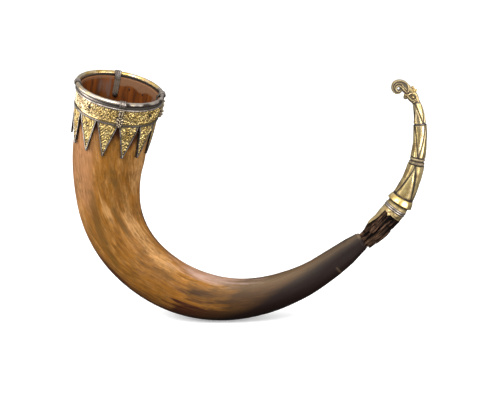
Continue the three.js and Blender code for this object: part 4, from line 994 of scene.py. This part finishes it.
def makeSocket():
    # a sheet sleeve: its torn edge runs out into a long tongue on the inside of the curve and a short flap
    angle = ringAngles(socket["around"])[None, :]
    side = fromFront(angle)
    long, place, spread = socket["tongue"]
    off = np.abs(side - place) / spread
    tongue = long * np.where(off < 0.25, 1 - 0.12 * off, np.sqrt(unit((1 - off) / 0.75)))
    short, place, spread = socket["flap"]
    flap = short * unit(1 - np.abs(side - place) / spread)
    jag = 0.35 + 0.35 * ripple(95, 3.0, *crosswise(socket["girth"], angle))
    edge = terminal["lip"] - most(tongue, flap) - jag * (1 + 1.5 * (tongue > 1))
    share = np.linspace(0, 1, socket["rows"])[:, None]
    station = edge + (terminal["lip"] + 3.2 - edge) * share
    reach = unit((terminal["lip"] - station) / long)
    onWood = woodRadius(station) + 0.85 + 0.3 * np.sin(9 * reach) + reach**2 - 0.7 * np.sin(angle) * reach
    outer = np.minimum(onWood, 12.3) + 0.12 * ripple(96, 3, *crosswise(socket["girth"], angle), station)
    tail = np.array([[3.9, 12.0], [4.2, 11.0], [20, 10.9], [20, 9.4]])  # past the lip, and radius
    tailStation = terminal["lip"] + tail[:, :1] + 0 * angle
    tailRadius = tail[:, 1:] + 0 * angle
    stations = np.concatenate([station, tailStation, station[::-1]])
    radius = np.concatenate([outer, tailRadius, (outer - socket["sheet"])[::-1]])
    turns = angle + 0 * stations
    # darker towards the torn edge, and dark as painted shade on the tail and inside the sleeve
    grime = np.concatenate([0.1 + 0.5 * (1 - share) ** 6 + 0 * angle, 0.7 + 0 * tailRadius, 0.95 + 0 * outer])
    grime = unit(grime + 0.2 * ripple(97, 5, *crosswise(socket["girth"], turns), stations))
    sleeve = skin(beside(stations, radius, turns), ring=True, grime=grime, bare=0.2)
    addPiece("tipSocket", [sleeve], gilt, ["tip_socket"], crease=50)


# Knop and collar: how far past the piece's start, radius and darkness of each ring. The darkness is painted
# shade in the coves, grooves and under the knop's crest, and dark joints at the ends.
knop = [
    (-3.6, 11.0, 0.7), (-3.4, 11.9, 0.55), (-2.4, 11.6, 0.55), (-1.0, 11.25, 0.7), (0.5, 11.4, 0.9),
    (1.0, 11.9, 1), (1.2, 12.3, 1), (1.5, 13.1, 1), (1.9, 13.8, 0.8), (2.3, 14.0, 0.2), (2.8, 13.9, 0),
    (4.6, 13.3, 0), (6.6, 12.7, 0.05), (8.2, 12.1, 0.1), (8.6, 11.7, 0.6), (8.8, 11.2, 1), (9.0, 10.4, 1),
]
collar = [
    (-0.3, 7.4, 1), (0.1, 7.7, 0.9), (0.7, 8.15, 0.75), (1.6, 8.3, 0.6), (2.6, 8.15, 0.65), (3.2, 7.6, 0.8),
    (3.6, 7.0, 1), (4.0, 6.9, 1), (4.4, 7.2, 0.9), (4.9, 7.75, 0.7), (5.7, 7.95, 0.5), (6.5, 7.75, 0.6),
    (7.1, 7.2, 0.9), (7.6, 6.6, 1),
]


def makeRings():
    # turned mouldings: the socket's double wire, its cove and knop, the collar and the small rings
    arc = np.radians(np.linspace(0, 180, 11))
    wires = []
    for middle in (terminal["wire"] + 1.05, terminal["wire"] + 3.25):
        profile = [(middle - 1.05 * math.cos(t), 11.25 + 1.15 * math.sin(t)) for t in arc]
        # each wire dark at its edges as painted shade
        wires.append(turned(profile, [0.9 - 0.85 * math.sin(t) for t in arc], 1))
    addPiece("socketWire", wires, silver, ["socket_wire"])
    past, radius, dark = zip(*knop)
    knopRing = turned(list(zip(terminal["knop"] + np.array(past), radius)), dark, 2)
    addPiece("tipKnop", [knopRing], brightGilt, ["tip_knop"], crease=50)
    past, radius, dark = zip(*collar)
    collarRing = turned(list(zip(terminal["collar"] + np.array(past), radius)), dark, 3, bare=0.45)
    addPiece("midCollar", [collarRing], rubbedGilt, ["mid_collar"], crease=60)
    arc = np.radians(np.linspace(4, 176, 13))
    small = {"stemRing": ("stem_ring", 5.5, 1.4), "neckRing": ("neck_ring", 3.75, 1.5)}
    for name, (node, middle, reach) in small.items():
        start = terminal[name] + reach
        profile = [(start - reach * 1.15 * math.cos(t), middle + 0.35 * math.sin(t)) for t in arc]
        # each small ring dark as painted shade, a little lighter on its crest
        ring = turned(profile, [1 - 0.35 * math.sin(t) ** 4 for t in arc], 4)
        addPiece(name, [ring], silver, [node], crease=60)


# Faceted tubes: tall darts, points up and down by turns, each creased up its middle and outlined by a scored
# line. Right and inside say how dark those sides are, and foot how far up the dark line at the foot goes.
tubes = {
    "tipCone": {
        "node": "tip_cone", "start": 520.9, "length": 38.5, "base": 11.1, "top": 8.7, "middle": 12,
        "up": True, "line": 1.5, "right": 0.3, "inside": 0.45, "foot": 0.105,
    },
    "stemTube": {
        "node": "stem_tube", "start": 567.1, "length": 34.4, "base": 7.8, "top": 6.5, "middle": 8,
        "up": False, "line": 1.15, "right": -0.1, "inside": 0.2, "foot": 0.05,
    },
    "neckTube": {
        "node": "neck_tube", "start": 603.1, "length": 21.4, "base": 6.3, "top": 4.3, "middle": 30,
        "up": True, "line": 0.95, "right": 0, "inside": 0.45, "foot": 0.05,
    },
}


def makeTube(name, tube):
    # radius is the nearest of six planes, three that start wide at the foot and three at the head, less the
    # scored line
    angle = ringAngles(144)[None, :]
    share = np.concatenate([[0, 0, 0.004], np.linspace(0.012, 0.988, 80), [0.996, 1, 1]])[:, None]
    size = tube["base"] + (tube["top"] - tube["base"]) * share
    shrink = np.concatenate([[0.6, 0.93, 0.98], np.ones(80), [0.98, 0.93, 0.6]])[:, None]
    fold = fullTurn / 3
    rise = share if tube["up"] else 1 - share
    up = (angle - math.radians(tube["middle"]) + fold / 2) % fold - fold / 2
    down = fold / 2 - np.abs(up)
    upPlane = size * (0.9 + 0.1 * rise) / np.cos(np.minimum(np.abs(up), 1.0))
    downPlane = size * (1 - 0.1 * rise) / np.cos(np.minimum(down, 1.0))
    radius = -np.log(np.exp(-8 * upPlane) + np.exp(-8 * downPlane) + np.exp(-8 * size)) / 8 + 0.08
    reach = (fold / 2) * (1 - rise) * 0.97
    line = bump((np.abs(up) - reach) * size, 0, tube["line"])
    crease = 0.55 * unit(1 - np.abs(up) / (reach + 0.08))
    ends = most(1 - smooth(tube["foot"] - 0.035, tube["foot"], share), smooth(0.97, 1, share))
    radius = (radius + crease - 0.65 * line) * shrink
    station = tube["start"] + tube["length"] * share + 0 * angle
    x, y = crosswise(radius, angle)
    side = fromFront(angle)
    streaks = unit(0.5 + ripple(122, 4, x, y, 0.12 * station))
    inner = spanned((25, 75), (130, 170), side)
    # painted shade on the right side of the cone, and painted light there on the stem, where right is below 0
    right = tube["right"] * spanned((-80, -50), (-14, 6), side)
    grime = unit(line + 0.85 * ends + right + (0.12 + tube["inside"] * inner) * streaks)
    bare = 0.15 + 0.3 * unit(ripple(121, 9, x, y, 0.3 * station))
    shell = skin(beside(station, radius, angle + 0 * station), grime=grime, bare=bare)
    addPiece(name, [shell], rubbedGilt, [tube["node"]], crease=60)


makeWood()
makeSocket()
makeRings()
for name, tube in tubes.items():
    makeTube(name, tube)

# Monster's head, in its own plane: x to the right as seen from the front, y along the neck, z to the front.
head = {
    "volute": (-13.2, 18.4), "start": 8, "turn": 346, "outer": 10.9, "end": 3.9, "hole": 1.15, "thread": 0.62,
    "eye": (-1.75, 5.7), "jaw": (-8.8, 7.45),
    "left": [
        (-4.0, -0.9), (-5.0, 0.6), (-6.2, 2.3), (-7.3, 4.9), (-7.7, 8.0), (-8.6, 11.0), (-10.2, 14.0),
        (-11.2, 16.4),
    ],
    "right": [
        (3.7, -0.9), (3.75, 0.8), (3.9, 3.0), (3.7, 6.0), (3.0, 9.2), (1.6, 12.4), (-0.4, 15.6), (-1.9, 18.2),
    ],
    "rows": [0, 8, 22, 32, 42, 62, 100, 150, 179],
    "thick": [3.7, 4.0, 4.1, 3.8, 3.2, 3.1, 3.0, 2.8, 2.3],
}
headPlace = onLine(linePlaces, terminal["head"])
headUp = onLine(lineAlong, terminal["head"])
headRight = -onLine(lineInside, terminal["head"])
headFront = np.cross(headRight, headUp)


def onHead(x, y, z):
    # a point of the head's own plane, set on the end of the neck
    sideways = np.asarray(x)[..., None] * headRight + np.asarray(y)[..., None] * headUp
    return headPlace + sideways + np.asarray(z)[..., None] * headFront


def throughPoints(points, count):
    # a smooth curve through points: each stretch is a cubic with slopes taken from its neighbours
    points = np.array(points, float)
    padded = np.concatenate([2 * points[:1] - points[1:2], points, 2 * points[-1:] - points[-2:-1]])
    t = np.linspace(0, len(points) - 1 - 1e-6, count)
    k = t.astype(int)
    f = (t - k)[:, None]
    before, here, after, beyond = (padded[k + j] for j in range(4))
    bend = 2 * before - 5 * here + 4 * after - beyond
    return here + 0.5 * f * (after - before + f * (bend + f * (3 * (here - after) + beyond - before)))


def makeHead():
    # a bar from the neck through the skull and round the volute, with threads laid on both its faces
    share = np.linspace(0, 1, 120)
    turn = np.radians(head["start"] + head["turn"] * share)
    ray = np.stack([np.cos(turn), np.sin(turn)], -1)
    outer = (head["outer"] + (head["end"] - head["outer"]) * share**0.8)[:, None]
    edgeOut = np.concatenate([throughPoints(head["right"], 60), np.array(head["volute"]) + ray * outer])
    edgeIn = np.concatenate([throughPoints(head["left"], 60), np.array(head["volute"]) + ray * head["hole"]])
    row = np.arange(len(edgeOut))[:, None]
    thick = np.interp(row, head["rows"], head["thick"])
    ring = ringAngles(72)[None, :]
    across = np.sign(np.cos(ring)) * np.abs(np.cos(ring)) ** 0.8
    depth = np.sign(np.sin(ring)) * np.abs(np.sin(ring)) ** 0.5
    centre, halfBar = (edgeOut + edgeIn) / 2, (edgeOut - edgeIn) / 2
    x = centre[:, :1] + halfBar[:, :1] * across
    y = centre[:, 1:] + halfBar[:, 1:] * across
    onVolute = smooth(50, 62, row)
    onFlat = np.abs(depth) > 0.5
    hollow = onVolute * smooth(0.92, 0.76, across) * onFlat
    eyeRing = bump(np.hypot(x - head["eye"][0], (y - head["eye"][1]) * 0.9), 1.9, 1.0) * (1 - onVolute)
    z = thick * depth * (1 - 0.14 * hollow - 0.14 * eyeRing)
    # painted shade: darker towards the skull's left edge, in the volute's hollow, round the eye and on the
    # volute's outer edge on the left; the flat faces are darker too
    low = 0.7 * smooth(0.5, -0.6, across) * (1 - onVolute)
    flat = 0.3 * smooth(0.75, 0.4, across) * onFlat
    outside = 0.75 * smooth(0.62, 0.85, across) * smooth(94, 116, row)
    grime = np.clip(0.24 + 0.55 * hollow + 0.5 * eyeRing + low + 1.5 * flat + outside, 0, 0.88)
    # rubbed silver on the right edge of the skull is a painted highlight
    rubbedAndLit = 0.6 * smooth(0.6, 0.95, across) * (1 - smooth(78, 98, row))
    parts = [skin(onHead(x, y, z), grime=grime, bare=0.05 + 0.5 * hollow + 0.4 * flat + rubbedAndLit)]

    def spiral(*stops):
        # points about the volute's middle by angle in degrees and radius
        turns = [(math.radians(degrees), radius) for degrees, radius in stops]
        middle = head["volute"]
        return [(middle[0] + r * math.cos(a), middle[1] + r * math.sin(a)) for a, r in turns]

    def thread(path, wide, lift, dirtAndShade):
        # a round thread along a path on the face, tapered to its ends
        line = throughPoints(path, 10 * len(path))
        ahead = np.gradient(line, axis=0)
        ahead = ahead / np.linalg.norm(ahead, axis=1, keepdims=True)
        t = np.linspace(0, 1, len(line))[:, None]
        girth = wide * unit(6 * np.minimum(t, 1 - t) + 0.35)
        around = ringAngles(10)[None, :]
        px = line[:, :1] - ahead[:, 1:] * girth * np.cos(around)
        py = line[:, 1:] + ahead[:, :1] * girth * np.cos(around)
        dim = dirtAndShade[0] + (dirtAndShade[1] - dirtAndShade[0]) * smooth(0.22, 0.42, t)
        for face in (1, -1):
            pz = face * (lift + 1.1 * girth * np.sin(around))
            parts.append(skin(onHead(px, py, pz), grime=dim, bare=0.35))

    def knob(place, turnBy, sizes, z, dirtAndShade):
        # an ellipsoid turned in the head's plane
        c, s = math.cos(turnBy), math.sin(turnBy)
        axes = (c * headRight + s * headUp, -s * headRight + c * headUp, headFront)
        parts.append(ball(onHead(place[0], place[1], z), axes, sizes, 14, 22, grime=dirtAndShade, bare=0.15))

    outline = spiral(
        (318, 3.3), (285, 4.1), (255, 4.7), (225, 5.4), (200, 5.7), (176, 6.0), (149, 6.5), (126, 7.2),
        (105, 7.7), (84, 8.0), (61, 8.3), (45, 8.6), (24, 9.2), (8, 9.7), (-6, 9.9), (-20, 10.2),
    )
    outline += [(-4.9, 12.7), (-6.7, 12.7), (-7.8, 14.2), (-8.5, 15.9), (-9.6, 18.4), (-11.2, 20.6)]
    outline += [(-13.5, 21.4), (-15.4, 20.4), (-16.0, 18.3), (-15.1, 16.4), (-13.4, 15.6), (-11.7, 16.1)]
    rib = [(-6.0, 14.9), (-7.0, 17.4), (-8.5, 19.8)]
    rib += spiral((48, 5.9), (72, 5.7), (97, 5.6), (135, 5.0), (165, 4.5))
    lid = [(-7.4, 9.0), (-6.4, 7.6), (-5.4, 5.6), (-4.1, 3.6)]
    lid += [(-1.8, 2.6), (0.5, 3.2), (1.4, 5.3), (0.8, 6.9)]
    brow = [(-9.0, 10.3), (-7.6, 9.9), (-5.7, 9.5), (-3.4, 10.2), (-1.4, 9.9), (0.6, 8.6)]
    neckLine = [(-3.6, 0.4), (-1.5, 1.0), (0.8, 1.1), (2.6, 0.7)]
    # the outline dark at its start on the lower left as painted shade
    thread(outline, head["thread"], 3.15, (0.62, 0.2))
    thread(rib, 0.45, 3.0, (0.15, 0.4))
    thread(lid, 0.5, 4.05, (0.1, 0.25))
    thread(brow, 0.65, 3.8, (0.1, 0.03))
    thread(neckLine, 0.45, 3.75, (0.3, 0.1))
    for face in (1, -1):
        knob(head["eye"], 0, (1.15, 1.15, 1.1), face * 4.0, 0.02)
        knob((1.2, 12.6), 1.2, (2.6, 0.9, 1.0), face * 3.2, 0.1)
    knob(head["jaw"], 0, (2.3, 2.3, 2.7), 0, 0.8)
    knob((-8.6, 10.3), 0.3, (1.5, 1.0, 2.6), 0, 0.1)
    for face in (1, -1):
        knob((2.9, 11.0), 0.5, (1.7, 1.0, 1.2), face * 1.8, 0.1)
    knob((0.3, 15.1), 0.75, (1.9, 1.0, 1.9), 0, 0.05)
    knob((-1.7, 17.7), 0.4, (1.0, 0.8, 1.6), 0, 0.1)
    addPiece("monsterHead", parts, rubbedGilt, ["monster_head"], crease=60)


makeHead()

# Stage: a plain pale floor that throws no light back up, a soft high sun and three soft boxes.
stage = {
    "floorHalf": 9, "floorZ": -0.0004, "target": (0.03165, 0.0002, 0.1293), "raised": 15.5, "away": 1.228,
}
floorFinish, floorTree, floorShader = startFinish("paleStudioFloor")
setInputs(floorTree, floorShader, {
    "Base Color": linear("#F8F8F8"), "Roughness": 0.9, "Emission Color": linear("#FFFFFF"),
    "Emission Strength": 0.25,
})
floorMesh = bpy.data.meshes.new("studioFloor")
floorHalf = stage["floorHalf"]
floorSigns = ((-1, -1), (1, -1), (1, 1), (-1, 1))
floorCorners = [(x * floorHalf, y * floorHalf, stage["floorZ"]) for x, y in floorSigns]
floorMesh.from_pydata(floorCorners, [], [(0, 1, 2, 3)])
floorMesh.materials.append(floorFinish)
studioFloor = bpy.data.objects.new("studioFloor", floorMesh)
bpy.context.scene.collection.objects.link(studioFloor)
studioFloor.visible_diffuse = False
studioFloor.visible_glossy = False

# White air that brightens upwards and dims on the far side.
world = bpy.data.worlds.new("studioAir")
bpy.context.scene.world = world
world.use_nodes = True
skyTree = world.node_tree
skyAt = addNode(skyTree, "TexCoord", {}, "Generated")
skyUp = addNode(skyTree, "SeparateXYZ", {0: skyAt}, "Z")
skyBack = addNode(skyTree, "SeparateXYZ", {0: skyAt}, "Y")
skyGlow = {"Value": skyUp, "From Min": -0.7, "From Max": 0.8, "To Min": 0.08, "To Max": 1.08}
skyFar = {"Value": skyBack, "From Min": 0.1, "From Max": 0.9, "To Min": 1, "To Max": 0.6}
skyShares = {0: addNode(skyTree, "MapRange", skyGlow), 1: addNode(skyTree, "MapRange", skyFar)}
skyLight = addNode(skyTree, "Math", skyShares, operation="MULTIPLY")
setInputs(skyTree, skyTree.nodes["Background"], {"Strength": skyLight, "Color": linear("#FFFFFF")})
target = Vector(stage["target"])


def addLamp(name, kind, place, power, **settings):
    # a lamp with its settings, turned towards the target
    lamp = bpy.data.lights.new(name, kind)
    lamp.energy = power
    for key, value in settings.items():
        setattr(lamp, key, value)
    stand = bpy.data.objects.new(name, lamp)
    stand.location = place
    stand.rotation_mode = "QUATERNION"
    stand.rotation_quaternion = (target - Vector(place)).to_track_quat("-Z", "Y")
    bpy.context.scene.collection.objects.link(stand)


addLamp("highSun", "SUN", (-0.5, -0.5, 2.0), 0.7, angle=math.radians(60))
addLamp("keyBox", "AREA", (-0.28, -0.9, 0.95), 12.9, shape="RECTANGLE", size=0.8, size_y=0.6)
addLamp("leftBox", "AREA", (-0.48, -0.12, 0.2), 2.0, shape="RECTANGLE", size=0.4, size_y=0.4)
addLamp("rightBox", "AREA", (0.54, -0.46, 0.17), 4.5, shape="RECTANGLE", size=0.65, size_y=0.36)

lens = bpy.data.cameras.new("photoCamera")
lens.lens = 85
lens.sensor_width = 36
camera = bpy.data.objects.new("photoCamera", lens)
raised = math.radians(stage["raised"])
camera.location = target + stage["away"] * Vector((0, -math.cos(raised), math.sin(raised)))
camera.rotation_mode = "QUATERNION"
camera.rotation_quaternion = (target - camera.location).to_track_quat("-Z", "Y")
bpy.context.scene.collection.objects.link(camera)
bpy.context.scene.camera = camera
bpy.context.scene.view_settings.view_transform = "Standard"
print("stage, lamps and camera set")
